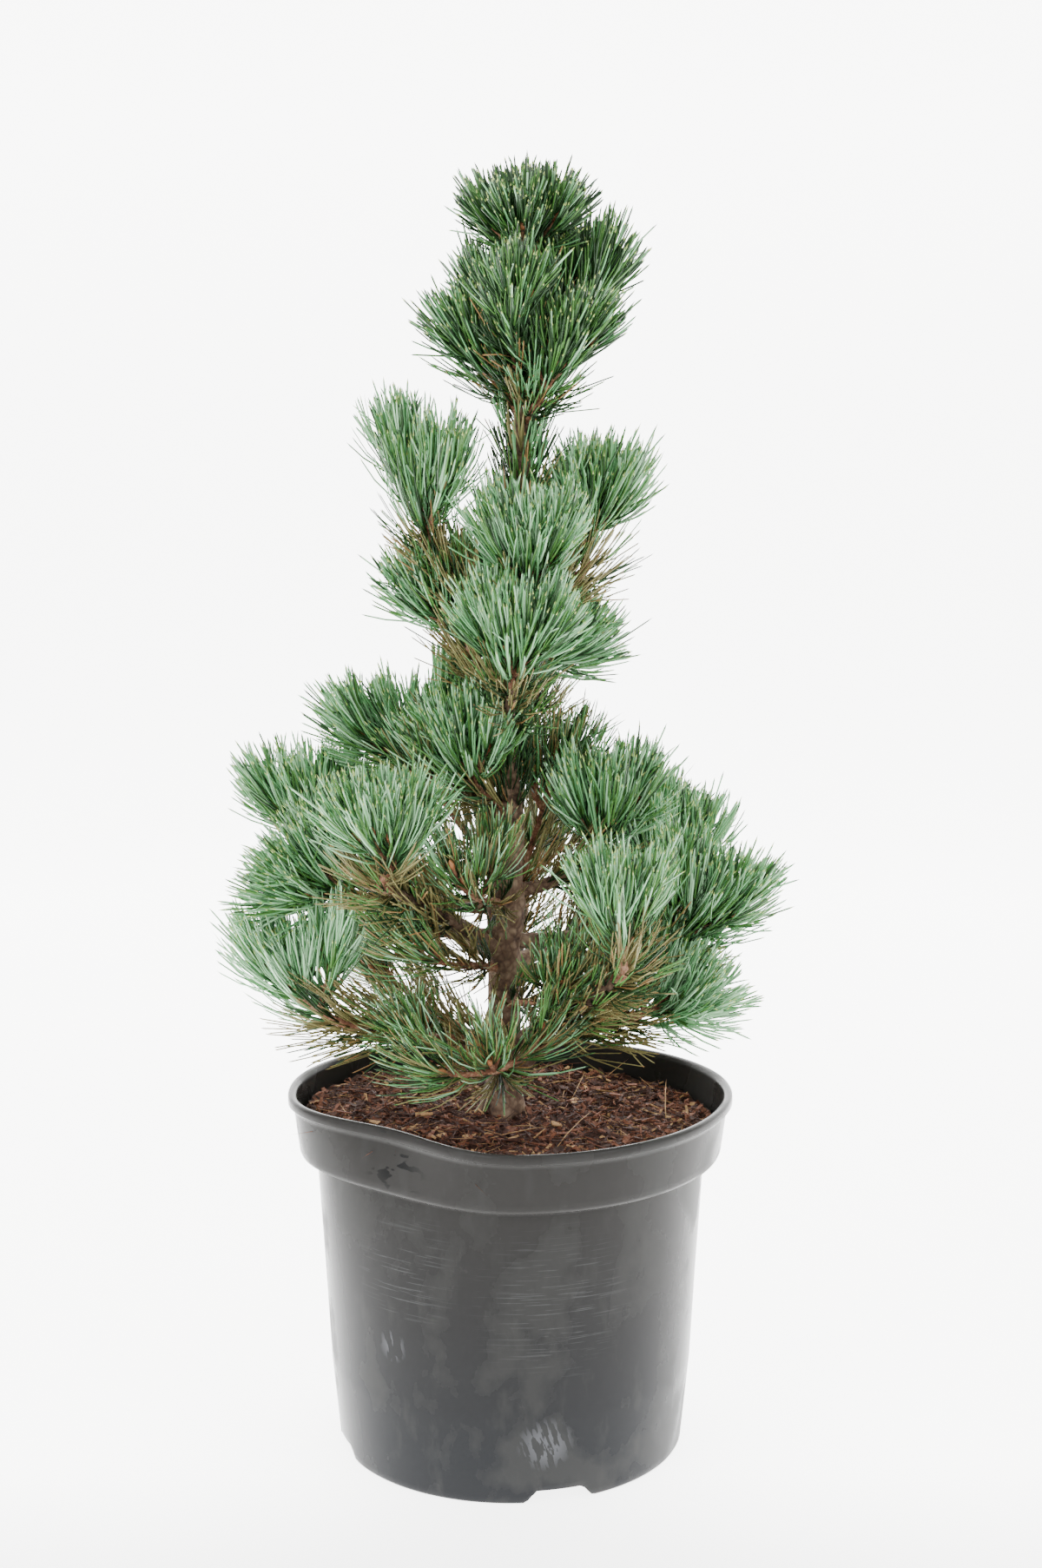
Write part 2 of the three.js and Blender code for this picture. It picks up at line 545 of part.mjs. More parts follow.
// The curves of a mass: its stem first, then the side twigs of its whorl.
function shootCurves(mass, root, random) {
  const base = along(root.point, heading(mass.stem[0], mass.stem[1]), mass.stem[2]);
  const end = heading(mass.end[0], mass.end[1]);
  const stem = new THREE.CatmullRomCurve3([
    root.point, along(root.point, root.first, mass.stem[2] / 3), base, along(base, end, LEAFY_LENGTH),
  ]);
  const length = stem.getLength();
  const curves = [stem];
  for (let i = 0; i < mass.twigs; i += 1) {
    const back = LEAFY_LENGTH + WHORL_STEP * (i + 0.5);
    const start = stem.getPointAt(Math.max(LOWEST_TWIG, 1 - back / length));
    const turn = mass.turn + (i * 360) / Math.max(mass.twigs, 2);
    const side = heading(turn + TURN_JITTER * (random() - 0.5), 0);
    side.addScaledVector(end, -side.dot(end)).normalize();
    const spread = THREE.MathUtils.degToRad(mass.spread + SPREAD_JITTER * (random() - 0.5));
    const out = end.clone().multiplyScalar(Math.cos(spread)).addScaledVector(side, Math.sin(spread));
    const lifted = out.clone().addScaledVector(UP, LIFT).normalize();
    const reach = mass.twig * (TWIG_REACH[0] + TWIG_REACH[1] * random());
    const middle = along(start, out, reach);
    curves.push(new THREE.CatmullRomCurve3([start, middle, along(middle, lifted, LEAFY_LENGTH)]));
  }
  return curves;
}

// The rings of a shoot, each with what the band above it bears: short bands of last year's needles
// stand apart below its leafy end.
function shootRings(length, leafy) {
  const rings = [{ share: 0, bears: 'nothing' }];
  for (let back = OLD_LENGTH; back > OLD_BAND; back -= OLD_STEP) {
    const band = leafy - back / length;
    if (band > LOWEST_OLD) {
      rings.push({ share: band, bears: 'old' }, { share: band + OLD_BAND / length, bears: 'nothing' });
    }
  }
  for (let i = 0; i <= LEAFY_BANDS; i += 1) {
    rings.push({ share: THREE.MathUtils.lerp(leafy, 1, i / LEAFY_BANDS), bears: 'new' });
  }
  return rings;
}

// Everything about the masses that has to be known before any of them gets its needles.
const plans = [];

function planMass(row, index) {
  const mass = { ...MASS_DEFAULTS, ...row };
  const random = seededNumbers(SEED + SEED_STEP * index);
  const root = stemRoot(mass);
  const curves = shootCurves(mass, root, random);
  const shoots = curves.map((curve, i) => {
    const length = curve.getLength();
    const leafy = 1 - LEAFY_LENGTH / length;
    const rootRadius = i === 0 ? root.radius : SHOOT_RADIUS;
    const radiusAt = (s) => (s < leafy
      ? THREE.MathUtils.mapLinear(s, 0, leafy, rootRadius, SHOOT_RADIUS)
      : THREE.MathUtils.mapLinear(s, leafy, 1, SHOOT_RADIUS, BUD_RADIUS));
    recordRun(mass.name, curve, radiusAt);
    return { curve, length, leafy, radiusAt, rings: shootRings(length, leafy) };
  });
  plans.push({ mass, random, root, shoots, needles: [] });
}

// How far a point lies from the stems of its own mass, from those of the other masses, and from the
// bark of any limb but the shoot that it grows on.
function nearestLimbs(point, owner, shoot) {
  const nearest = { own: Infinity, other: Infinity, bark: Infinity };
  const onLine = new THREE.Vector3();
  for (const run of limbRuns) {
    run.line.closestPointToPoint(point, true, onLine);
    const distance = point.distanceTo(onLine);
    if (run.owner.startsWith('mass')) {
      const kind = run.owner === owner ? 'own' : 'other';
      nearest[kind] = Math.min(nearest[kind], distance);
    }
    if (run.curve !== shoot.curve) {
      nearest.bark = Math.min(nearest.bark, distance - run.radius);
    }
  }
  return nearest;
}

// True where two needles cross, taken as rods that thin out to a point.
function needlesCross(one, other) {
  const [d1, d2] = [one.tip.clone().sub(one.root), other.tip.clone().sub(other.root)];
  const between = one.root.clone().sub(other.root);
  const [a, b, c, d, e] = [d1.dot(d1), d1.dot(d2), d2.dot(d2), d1.dot(between), d2.dot(between)];
  const clamp = (value) => THREE.MathUtils.clamp(value, 0, 1);
  const denominator = Math.max(1e-6, a * c - b * b);
  const t = clamp((e + b * clamp((b * e - c * d) / denominator)) / c);
  const s = clamp((b * t - d) / a);
  const distance = along(one.root, d1, s).distanceTo(along(other.root, d2, t));
  return distance < NEEDLE_RADIUS * (2 - s - t) + NEEDLE_GAP;
}

// True where a needle stays in its own mass's space and touches nothing. Its root may lie close to
// the shoot's neighbours, so that end isn't looked at.
function needleFits(needle, plan, shoot) {
  for (const share of NEEDLE_CHECKS) {
    const point = needle.root.clone().lerp(needle.tip, share);
    const nearest = nearestLimbs(point, plan.mass.name, shoot);
    const radius = Math.hypot(point.x, point.y);
    const floor = radius < RIM_ZONE[0] ? soilHeight(point.x, point.y) + SOIL_GAP : POT_HEIGHT + SOIL_GAP;
    const overPot = radius < RIM_ZONE[1] && point.z < floor;
    if (overPot || nearest.bark < LIMB_GAP || nearest.other < nearest.own + SPACE_GAP) {
      return false;
    }
  }
  return !plan.needles.some((other) => other.shoot !== shoot && needlesCross(needle, other));
}

// The tip of the needle that stands out of a shoot at a share of its length, or null for none.
function needleTip(plan, shoot, middle, share, ring) {
  const { mass, random } = plan;
  const bears = ring < 0 ? 'nothing' : shoot.rings[ring].bears;
  const isOld = bears === 'old';
  const draw = random();
  const jitter = random() - 0.5;
  if (bears === 'nothing' || (isOld && draw > OLD_SHARE)) {
    return null;
  }
  const axis = shoot.curve.getTangentAt(share);
  const outward = middle.clone().sub(shoot.curve.getPointAt(share));
  outward.addScaledVector(axis, -outward.dot(axis)).normalize();
  const height = THREE.MathUtils.clamp((share - shoot.leafy) / (1 - shoot.leafy), 0, 1);
  const splay = isOld ? OLD_SPLAY : THREE.MathUtils.lerp(SPLAY_LOW, SPLAY_HIGH, height);
  const angle = THREE.MathUtils.degToRad(splay + SPLAY_JITTER * jitter);
  const direction = axis.multiplyScalar(Math.cos(angle)).addScaledVector(outward, Math.sin(angle));
  const grown = mass.needle * (isOld ? OLD_NEEDLE : 1);
  const length = grown * (NEEDLE_REACH[0] + NEEDLE_REACH[1] * draw);
  for (const trim of TRIMS) {
    const needle = { root: middle, tip: along(middle, direction, length * trim), shoot };
    if (needleFits(needle, plan, shoot)) {
      plan.needles.push(needle);
      return needle.tip;
    }
  }
  return null;
}

function makeMass(plan) {
  let solid = null;
  for (const [i, shoot] of plan.shoots.entries()) {
    const tipOf = (middle, share, ring) => needleTip(plan, shoot, middle, share, ring);
    const sides = i === 0 ? STEM_SIDES : TWIG_SIDES;
    const shares = shoot.rings.map((ring) => ring.share);
    const part = toSolid(limb(shoot.curve, shoot.radiusAt, sides, shares, tipOf));
    solid = solid ? solid.add(part) : part;
  }
  if (plan.root.onTrunk) {
    solid = solid.subtract(trunkSkin);
  }
  const { x, y, z } = plan.root.point;
  addPiece(plan.mass.name, toGeometry(solid).translate(-x, -y, -z), COLOURS.needle, plan.root.point);
}

makePot();
makeSoil();
makeTrunk();
BOUGHS.forEach(makeBough);
MASSES.forEach(planMass);
plans.forEach(makeMass);

export default tree;
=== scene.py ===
"""Dresses a potted Japanese white pine: bark, shoots, needles, compost and the moulded pot.

Sizes in the classes are millimetres, +Z up, with the origin at the middle of the pot's flat
underside. A heading is a bearing and a climb in degrees: bearing 0 is +X and 90 is +Y, climb 0 is
level and 90 is straight up. Meshes are turned to metres where they are made. All random numbers
have a seed, and are drawn in the order in which the rows stand.
"""

import logging
from dataclasses import dataclass, field
from enum import Enum, IntEnum

import bpy
import numpy as np
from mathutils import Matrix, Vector


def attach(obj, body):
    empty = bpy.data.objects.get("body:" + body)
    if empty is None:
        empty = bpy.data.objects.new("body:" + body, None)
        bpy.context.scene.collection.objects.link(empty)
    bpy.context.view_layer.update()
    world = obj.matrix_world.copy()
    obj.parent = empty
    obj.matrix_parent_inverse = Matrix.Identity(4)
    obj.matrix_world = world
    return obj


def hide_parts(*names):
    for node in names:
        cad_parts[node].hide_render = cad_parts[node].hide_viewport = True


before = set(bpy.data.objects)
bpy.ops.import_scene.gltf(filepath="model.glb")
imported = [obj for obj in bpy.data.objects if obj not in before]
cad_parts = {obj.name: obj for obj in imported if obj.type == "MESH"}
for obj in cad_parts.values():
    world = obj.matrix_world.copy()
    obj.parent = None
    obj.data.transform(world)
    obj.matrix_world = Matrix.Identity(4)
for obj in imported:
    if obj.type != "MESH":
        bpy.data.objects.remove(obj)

LOG = logging.getLogger("potted_pine")
MM = 0.001
UP = np.array([0.0, 0.0, 1.0])
CLEARANCE = 0.3
SEED = 5
SEED_STEP = 97
# The bark's relief: how wide its plates and its grit are, how much longer plates are than wide, as
# a share, and the plates' share of the depth.
PLATE, GRIT, PLATE_ALONG, PLATE_SHARE = 3.4, 1.2, 0.45, 0.6
# Small steps that keep a cross product away from zero.
NUDGE, SHOOT_NUDGE, STRAND_NUDGE = 1e-3, 1e-4, 1e-5

Array, Random = np.ndarray, np.random.Generator
Material, Socket = bpy.types.Material, bpy.types.NodeSocket
Feed = Socket | tuple | float | str
Pair, Triple = tuple[float, float], tuple[float, float, float]
Spot = tuple[Triple, float]


class Hue(IntEnum):
    """The plain base colours of needles, numbered as their finishes are."""

    WAX = 0
    BLUE = 1
    GREEN = 2
    DEEP = 3
    YELLOW = 4
    OLIVE = 5
    BROWN = 6


class Tone(Enum):
    """The look of a mass: the share of each hue on its needles' inner sides, then on the outer."""

    # Paler than glaucous, as painted light on the low masses at both sides.
    PALE = ((0.78, 0.18, 0.04, 0, 0, 0, 0), (0.46, 0.32, 0.18, 0.04, 0, 0, 0))
    GLAUCOUS = ((0.52, 0.28, 0.13, 0.07, 0, 0, 0), (0.2, 0.24, 0.34, 0.22, 0, 0, 0))
    GREEN = ((0.1, 0.15, 0.34, 0.41, 0, 0, 0), (0.03, 0.07, 0.36, 0.54, 0, 0, 0))
    DEEP = ((0.08, 0.11, 0.27, 0.54, 0, 0, 0), (0.03, 0.05, 0.24, 0.68, 0, 0, 0))
    # Olive of old needles, with more deep green as painted shade, for masses in by the trunk.
    OLD = ((0.15, 0.16, 0.22, 0.18, 0, 0.25, 0.04), (0.05, 0.1, 0.3, 0.3, 0, 0.21, 0.04))


class Age(Enum):
    """How old a stretch of wood is, which says what needles it bears."""

    SHOOT = "shoot"
    FINE = "fine"
    OLD_WOOD = "old wood"


# The finish of a needle's foot, which lies in the shade of its bundle, for each hue.
SHADED = (Hue.BLUE, Hue.GREEN, Hue.DEEP, Hue.DEEP, Hue.GREEN, Hue.OLIVE, Hue.BROWN)
# What last year's bundles are dealt, in green masses and in all others.
AGED_GREEN = (Hue.BLUE, Hue.GREEN, Hue.DEEP, Hue.DEEP, Hue.DEEP, Hue.OLIVE)
AGED = (Hue.GREEN, Hue.DEEP, Hue.OLIVE, Hue.OLIVE, Hue.OLIVE, Hue.OLIVE)

# Masses in by the trunk, dealt the old tone: olive of old needles, darker as painted shade.
INNER_MASSES = ("mass_front_inner", "mass_left_inner", "mass_front_left", "mass_front_right_low",
                "mass_front_left_low", "mass_front_low", "mass_right_inner", "mass_back",
                "mass_back_left_low", "mass_back_right_low")
# Low masses at both sides, made paler as painted light.
PAINTED_LIT_MASSES = ("mass_left_lowest", "mass_right_low")
BRUSH_MASSES = ("mass_top_front", "mass_top_left", "mass_top_front_right", "mass_top_back",
                "mass_top_right", "mass_front_high", "mass_front_mid", "mass_left_front",
                "mass_right_front")

# How the names of each region's masses start. A mass is in the first region that fits.
REGIONS: dict[str, tuple[str, ...]] = {
    "needles_top": ("mass_top",),
    "needles_high_front": ("mass_left_high", "mass_right_high", "mass_front_high",
                           "mass_front_mid"),
    "needles_high_back": ("mass_back_high", "mass_back_mid", "mass_left_mid", "mass_right_mid"),
    "needles_left": ("mass_left",),
    "needles_front": ("mass_front",),
    "needles_right": ("mass_right",),
    "needles_back": ("mass_back",),
}


@dataclass(frozen=True)
class Bough:
    """One limb off the trunk: where it leaves, how far it runs and climbs, and its radii."""

    name: str
    height: float
    bearing: float
    reach: float
    rise: float
    bow: float
    root: float
    tip: float


@dataclass(frozen=True)
class Mass:
    """One mass of needles: its stem's root, run and end, and the whorl of side twigs it bears."""

    name: str
    on: str | float
    stem: Triple
    end: Pair
    turn: float
    twigs: int = 2
    twig: float = 12
    spread: float = 34
    needle: float = 43

    @property
    def tone(self) -> Tone:
        """Green on top; by the trunk, old with painted shade; low at both sides, painted light;
        else glaucous.
        """
        if self.name.startswith("mass_top"):
            return Tone.DEEP if self.name == "mass_top" else Tone.GREEN
        if self.name in PAINTED_LIT_MASSES:
            return Tone.PALE
        return Tone.OLD if self.name in INNER_MASSES else Tone.GLAUCOUS

    @property
    def region(self) -> str:
        """The first region whose starts fit its name."""
        return next(name for name, starts in REGIONS.items() if self.name.startswith(starts))


BOUGHS: tuple[Bough, ...] = (
    Bough("bough_top_right", 598, 23, 23, 42, -3, 3.4, 2.4),
    Bough("bough_left_high", 452, 184, 34, 63, 3, 4.2, 2.8),
    Bough("bough_right_high", 478, 15, 36, 31, -4, 4, 2.7),
    Bough("bough_front_high", 478, 281, 41, 26, -5, 3.8, 2.6),
    Bough("bough_front_mid", 420, 277, 48, 36, -6, 4, 2.7),
    Bough("bough_back_high", 470, 74, 42, 22, -5, 3.8, 2.6),
    Bough("bough_back_mid", 395, 74, 52, 37, -6, 4, 2.7),
    Bough("bough_left_upper", 372, 148, 38, 22, -4, 3.8, 2.7),
    Bough("bough_left_front", 292, 227, 92, 54, 3, 5.4, 3),
    Bough("bough_left", 302, 180, 73, 20, -4, 4.4, 2.9),
    Bough("bough_left_back", 320, 166, 102, 20, -8, 4.4, 2.9),
    Bough("bough_left_lowest", 226, 198, 85, 31, 7, 4.8, 3),
    Bough("bough_right_front", 236, 306, 104, 64, -4, 5.6, 3.2),
    Bough("bough_right_low", 220, 340, 76, 42, 6, 4.6, 3),
    Bough("bough_right", 276, 348, 77, 22, 4, 5, 3.1),
    Bough("bough_right_back", 300, 11, 91, 18, -7, 4.6, 3),
    Bough("bough_right_upper", 330, 2, 46, 18, -5, 4.2, 2.8),
    Bough("bough_back", 262, 83, 93, 34, -6, 5, 3.1),
    Bough("bough_back_left", 290, 128, 94, 26, -7, 4.8, 3),
    Bough("bough_back_right", 285, 49, 103, 27, -7, 4.8, 3),
)

MASSES: tuple[Mass, ...] = (
    Mass("mass_top", "trunk_tip", (186, 50, 10), (262, 82), 165, twigs=4, spread=50, needle=33),
    Mass("mass_top_front", 604, (257, 55, 54), (230, 76), 300, twigs=1, needle=36),
    Mass("mass_top_left", 600, (193, 54, 29), (170, 70), 190, spread=28, needle=40),
    Mass("mass_top_front_right", 596, (303, 43, 41), (300, 74), 350, needle=38),
    Mass("mass_top_back", 610, (112, 52, 48), (103, 72), 42, needle=40),
    Mass("mass_top_right", "bough_top_right", (21, 60, 17), (10, 80), 0, spread=22),
    Mass("mass_left_high", "bough_left_high", (203, 64, 33), (270, 80), 136, twig=22, spread=26),
    Mass("mass_right_high", "bough_right_high", (9, 78, 27), (340, 76), 345, twigs=3),
    Mass("mass_front_high", "bough_front_high", (281, 41, 14), (270, 68), 329),
    Mass("mass_front_mid", "bough_front_mid", (270, 40, 16), (270, 68), 335),
    Mass("mass_back_high", "bough_back_high", (76, 60, 20), (74, 66), 50),
    Mass("mass_back_mid", "bough_back_mid", (68, 56, 19), (73, 64), 31),
    Mass("mass_left_mid", 436, (166, 60, 52), (176, 64), 200),
    Mass("mass_right_mid", 452, (30, 26, 23), (5, 30), 18, needle=38),
    Mass("mass_left_upper", "bough_left_upper", (172, 19, 28), (150, 62), 190, twig=20, spread=46),
    Mass("mass_front_left_upper", 374, (206, 43, 36), (230, 66), 330),
    Mass("mass_left_inner", 334, (180, 54, 60), (150, 84), 185, twigs=1, needle=38),
    Mass("mass_right_inner", 306, (39, 68, 83), (20, 80), 10),
    Mass("mass_right_upper", "bough_right_upper", (349, 54, 17), (320, 78), 20),
    Mass("mass_left_front", "bough_left_front", (290, 62, 20), (260, 78), 200),
    Mass("mass_left", "bough_left", (203, 28, 28), (185, 22), 190, spread=44),
    Mass("mass_left_back", "bough_left_back", (184, 58, 22), (140, 74), 180, spread=44),
    Mass("mass_left_lowest", "bough_left_lowest", (169, 22, 34), (190, 66), 176, twig=18),
    Mass("mass_front_inner", 322, (254, 17, 64), (250, 62), 200, needle=33),
    Mass("mass_front_left", 284, (234, 16, 60), (200, 50), 195, twigs=1, needle=38),
    Mass("mass_front_left_low", 241, (226, 14, 62), (215, 20), 280, twigs=1, needle=35),
    Mass("mass_front_low", 224, (266, 16, 72), (262, 44), 208, twig=24, spread=66),
    Mass("mass_front_right_low", 262, (295, 18, 68), (272, 56), 326, twigs=1, needle=38),
    Mass("mass_right_front", "bough_right_front", (276, 64, 27), (277, 80), 216, spread=28),
    Mass("mass_right_low", "bough_right_low", (350, 26, 17), (350, 42), 330, spread=46),
    Mass("mass_right", "bough_right", (343, 24, 34), (342, 62), 344, twig=16),
    Mass("mass_right_back", "bough_right_back", (12, 42, 14), (90, 80), 23),
    Mass("mass_back", "bough_back", (84, 38, 23), (83, 60), 30, twig=18),
    Mass("mass_back_left", "bough_back_left", (131, 37, 27), (131, 56), 170, twig=18),
    Mass("mass_back_right", "bough_back_right", (49, 37, 27), (49, 56), 100, twig=18),
    Mass("mass_back_left_low", 232, (140, 18, 92), (154, 30), 110, twigs=1, twig=18),
    Mass("mass_back_right_low", 238, (40, 17, 98), (32, 30), 60, twigs=1, twig=18),
)


def angles(count: int) -> Array:
    """Evenly spaced angles round a circle, in radians."""
    return 2 * np.pi * np.arange(count) / count


def turned(side: Array, other: Array, angle: Array | float) -> Array:
    """One axis turned towards another: the first times cosine plus the other times sine.

    Args:
        side: The first axis, or several.
        other: The axis that it turns towards.
        angle: How far it turns, in radians.

    Returns:
        The turned vectors.
    """
    return side * np.cos(angle)[..., None] + other * np.sin(angle)[..., None]


def heading(bearing: float, climb: float) -> Array:
    """The unit vector of a heading.

    Args:
        bearing: Degrees round from +X towards +Y.
        climb: Degrees above level.

    Returns:
        The vector, as three numbers.
    """
    level = turned(np.array([1.0, 0, 0]), np.array([0, 1.0, 0]), np.radians(bearing))
    return turned(level, UP, np.radians(climb))


def unit(vectors: Array) -> Array:
    """The vectors, each cut or stretched to a length of 1."""
    return vectors / np.maximum(np.linalg.norm(vectors, axis=-1, keepdims=True), 1e-9)


class SeededNumbers:
    """Numbers between 0 and 1 from a seed: each state is the last times a factor plus a step."""

    FACTOR, STEP, STATES = 1664525, 1013904223, 2**32

    def __init__(self, seed: int) -> None:
        """Starts the row of numbers at its seed."""
        self.state = seed

    def draw(self) -> float:
        """The next number of the row."""
        self.state = (self.state * self.FACTOR + self.STEP) % self.STATES
        return self.state / self.STATES

    def between(self, low: float, high: float) -> float:
        """The next number, spread between two limits."""
        return low + (high - low) * self.draw()


def grain(points: Array, size: float, seed: int) -> Array:
    """Smooth noise between -1 and 1: random values at a lattice's corners, blended between them.

    A corner's value comes from its cell's numbers, which large odd factors and shifts mix up.

    Args:
        points: Places, one per row.
        size: Width of a cell of the lattice.
        seed: Which noise it is.

    Returns:
        One value for each point.
    """
    place = points / size
    cell = np.floor(place).astype(np.int64)
    part = place - cell
    part = part * part * (3 - 2 * part)
    total = np.zeros(len(place))
    for corner in range(8):
        step = np.array([corner & 1, corner >> 1 & 1, corner >> 2 & 1])
        key = ((cell + step) * np.array([73856093, 19349663, 83492791])).sum(-1) + seed * 2654435761
        key = (key ^ (key >> 13)) * 1274126177 & 0x7FFFFFFF
        key = (key ^ (key >> 16)) & 0xFFFF
        total += np.prod(np.where(step, part, 1 - part), axis=-1) * key / 0xFFFF
    return 2 * total - 1


class Path:
    """A smooth curve through points, measured by its length.

    Between two points it is a cubic whose slope at each end comes from the neighbours, spaced by
    the square root of their distance. The run past each end mirrors the nearest stretch.
    """

    STEPS = 200
    NEAR = 0.005

    def __init__(self, points: list[Array]) -> None:
        """Works out the curve's samples and the length up to each of them.

        Args:
            points: What it goes through, in order.
        """
        given = np.array(points, float)
        whole = np.vstack([2 * given[0] - given[1], given, 2 * given[-1] - given[-2]])
        u = np.linspace(0, 1, self.STEPS + 1) * (len(given) - 1)
        low = np.minimum(u.astype(int), len(given) - 2)
        w = (u - low)[:, None]
        p0, p1, p2, p3 = (whole[low + k] for k in range(4))
        d0, d1, d2 = (np.sqrt(np.linalg.norm(b - a, axis=1))[:, None]
                      for a, b in ((p0, p1), (p1, p2), (p2, p3)))
        t1 = ((p1 - p0) / d0 - (p2 - p0) / (d0 + d1) + (p2 - p1) / d1) * d1
        t2 = ((p2 - p1) / d1 - (p3 - p1) / (d1 + d2) + (p3 - p2) / d2) * d1
        self.samples = (p1 + t1 * w + (3 * (p2 - p1) - 2 * t1 - t2) * w**2
                        + (2 * (p1 - p2) + t1 + t2) * w**3)
        gaps = np.linalg.norm(np.diff(self.samples, axis=0), axis=1)
        self.run = np.concatenate([[0], np.cumsum(gaps)])
        self.length = float(self.run[-1])

    def at(self, shares: Array | float) -> Array:
        """The points at these shares of the length."""
        s = np.clip(np.atleast_1d(shares), 0, 1) * self.length
        return np.stack([np.interp(s, self.run, self.samples[:, k]) for k in range(3)], -1)

    def tangent(self, shares: Array | float) -> Array:
        """The unit directions at these shares of the length."""
        s = np.atleast_1d(shares)
        return unit(self.at(np.minimum(s + self.NEAR, 1)) - self.at(np.maximum(s - self.NEAR, 0)))


@dataclass
class Shape:
    """A growing mesh: points in millimetres, faces of three or four corners, and their finishes."""

    points: list[Array] = field(default_factory=list)
    faces: list[Array] = field(default_factory=list)
    finishes: list[Array] = field(default_factory=list)
    count: int = 0

    def add(self, points: Array, faces: list[Array], finish: list | int = 0) -> None:
        """Adds points and the faces on them, each with the number of its finish.

        Args:
            points: Places, one per row.
            faces: Arrays of corner numbers, counted from the first of these points.
            finish: One number for all, or an array of numbers for each array of faces.
        """
        for k, corners in enumerate(faces):
            self.faces.append(corners + self.count)
            chosen = finish if isinstance(finish, int) else finish[k]
            self.finishes.append(np.broadcast_to(chosen, len(corners)))
        self.points.append(points.reshape(-1, 3))
        self.count += len(self.points[-1])

    def triangles(self) -> int:
        """How many triangles the mesh has."""
        return sum(len(f) * (f.shape[1] - 2) for f in self.faces)

    def make(self, name: str, materials: list[Material],
             smooth: bool = True) -> bpy.types.Object:
        """Puts the mesh into the scene, in metres, at the origin.

        Args:
            name: Name of the piece.
            materials: Its finishes, in the order of their numbers.
            smooth: Whether its faces are shaded as one surface.

        Returns:
            The object.
        """
        mesh = bpy.data.meshes.new(name)
        points = np.concatenate(self.points) * MM
        sizes = np.concatenate([np.full(len(f), f.shape[1]) for f in self.faces])
        corners = np.concatenate([f.ravel() for f in self.faces])
        mesh.vertices.add(len(points))
        mesh.vertices.foreach_set("co", points.astype(np.float32).ravel())
        mesh.loops.add(len(corners))
        mesh.loops.foreach_set("vertex_index", corners.astype(np.int32))
        mesh.polygons.add(len(sizes))
        mesh.polygons.foreach_set("loop_start", (np.cumsum(sizes) - sizes).astype(np.int32))
        for material in materials:
            mesh.materials.append(material)
        mesh.polygons.foreach_set("material_index", np.concatenate(self.finishes).astype(np.int32))
        mesh.polygons.foreach_set("use_smooth", np.full(len(sizes), smooth))
        mesh.update(calc_edges=True)
        mesh.validate()
        piece = bpy.data.objects.new(name, mesh)
        bpy.context.scene.collection.objects.link(piece)
        return piece


def closed_faces(rows: int, columns: int) -> list[Array]:
    """The faces of rows that each close into a ring, with a fan that closes either end.

    They face out where columns turn left round the way that the rows go. Points are numbered by
    row and column, and the first and the last end's centre come after them.

    Args:
        rows: How many rows there are.
        columns: Points in a row.

    Returns:
        The faces between rows, then the first end's and the last end's triangles.
    """
    here = np.arange(rows * columns).reshape(rows, columns)
    after = np.roll(here, -1, axis=1)
    first, last = (np.full(columns, rows * columns + k) for k in range(2))
    return [np.stack([here[:-1], after[:-1], after[1:], here[1:]], -1).reshape(-1, 4),
            np.stack([after[0], here[0], first], -1), np.stack([here[-1], after[-1], last], -1)]


def lathe(radius: Array, height: Array, columns: int) -> Array:
    """Rows of points round the z axis: radius times cosine, radius times sine, and height.

    Args:
        radius: One for each row, or one for each row and column.
        height: One for each row.
        columns: Points in a row, evenly spaced.

    Returns:
        The points, by row and column.
    """
    wide = radius.reshape(len(height), -1)
    x, y = wide * np.cos(angles(columns)), wide * np.sin(angles(columns))
    return np.stack([x, y, np.repeat(height[:, None], columns, 1)], -1)


def tube(path: Path, shares: Array, radius: Array, shape: Shape) -> None:
    """A closed tube: at each share a ring of points stands round the path at its own radii.

    Args:
        path: The line that the tube follows.
        shares: Where its rings lie.
        radius: A radius for each ring and each point in it.
        shape: The mesh that it is added to.
    """
    middle, tangent = path.at(shares), path.tangent(shares)
    chord = unit(path.at(1.0) - path.at(0.0))[0]
    side = np.cross(UP, chord) if abs(chord[2]) < 0.9 else np.array([1.0, 0, 0])
    normal = unit(side - (tangent @ side)[:, None] * tangent)
    other = np.cross(tangent, normal)
    ring = turned(normal[:, None], other[:, None], angles(radius.shape[1]))
    points = middle[:, None] + ring * radius[..., None]
    shape.add(np.vstack([points.reshape(-1, 3), middle[:1], middle[-1:]]),
              closed_faces(*radius.shape))


@dataclass(frozen=True)
class Blade:
    """The form of a thin strand: half its widest width, and its rings, by share and width.

    A strand has a ring of three points at each share of its length, and ends in one point. The
    taper gives each ring's width as a share of the widest, and the fan, in degrees, how far the
    strands of a bundle stand apart.
    """

    radius: float
    rings: tuple[float, ...]
    taper: tuple[float, ...]
    fan: float = 0.0


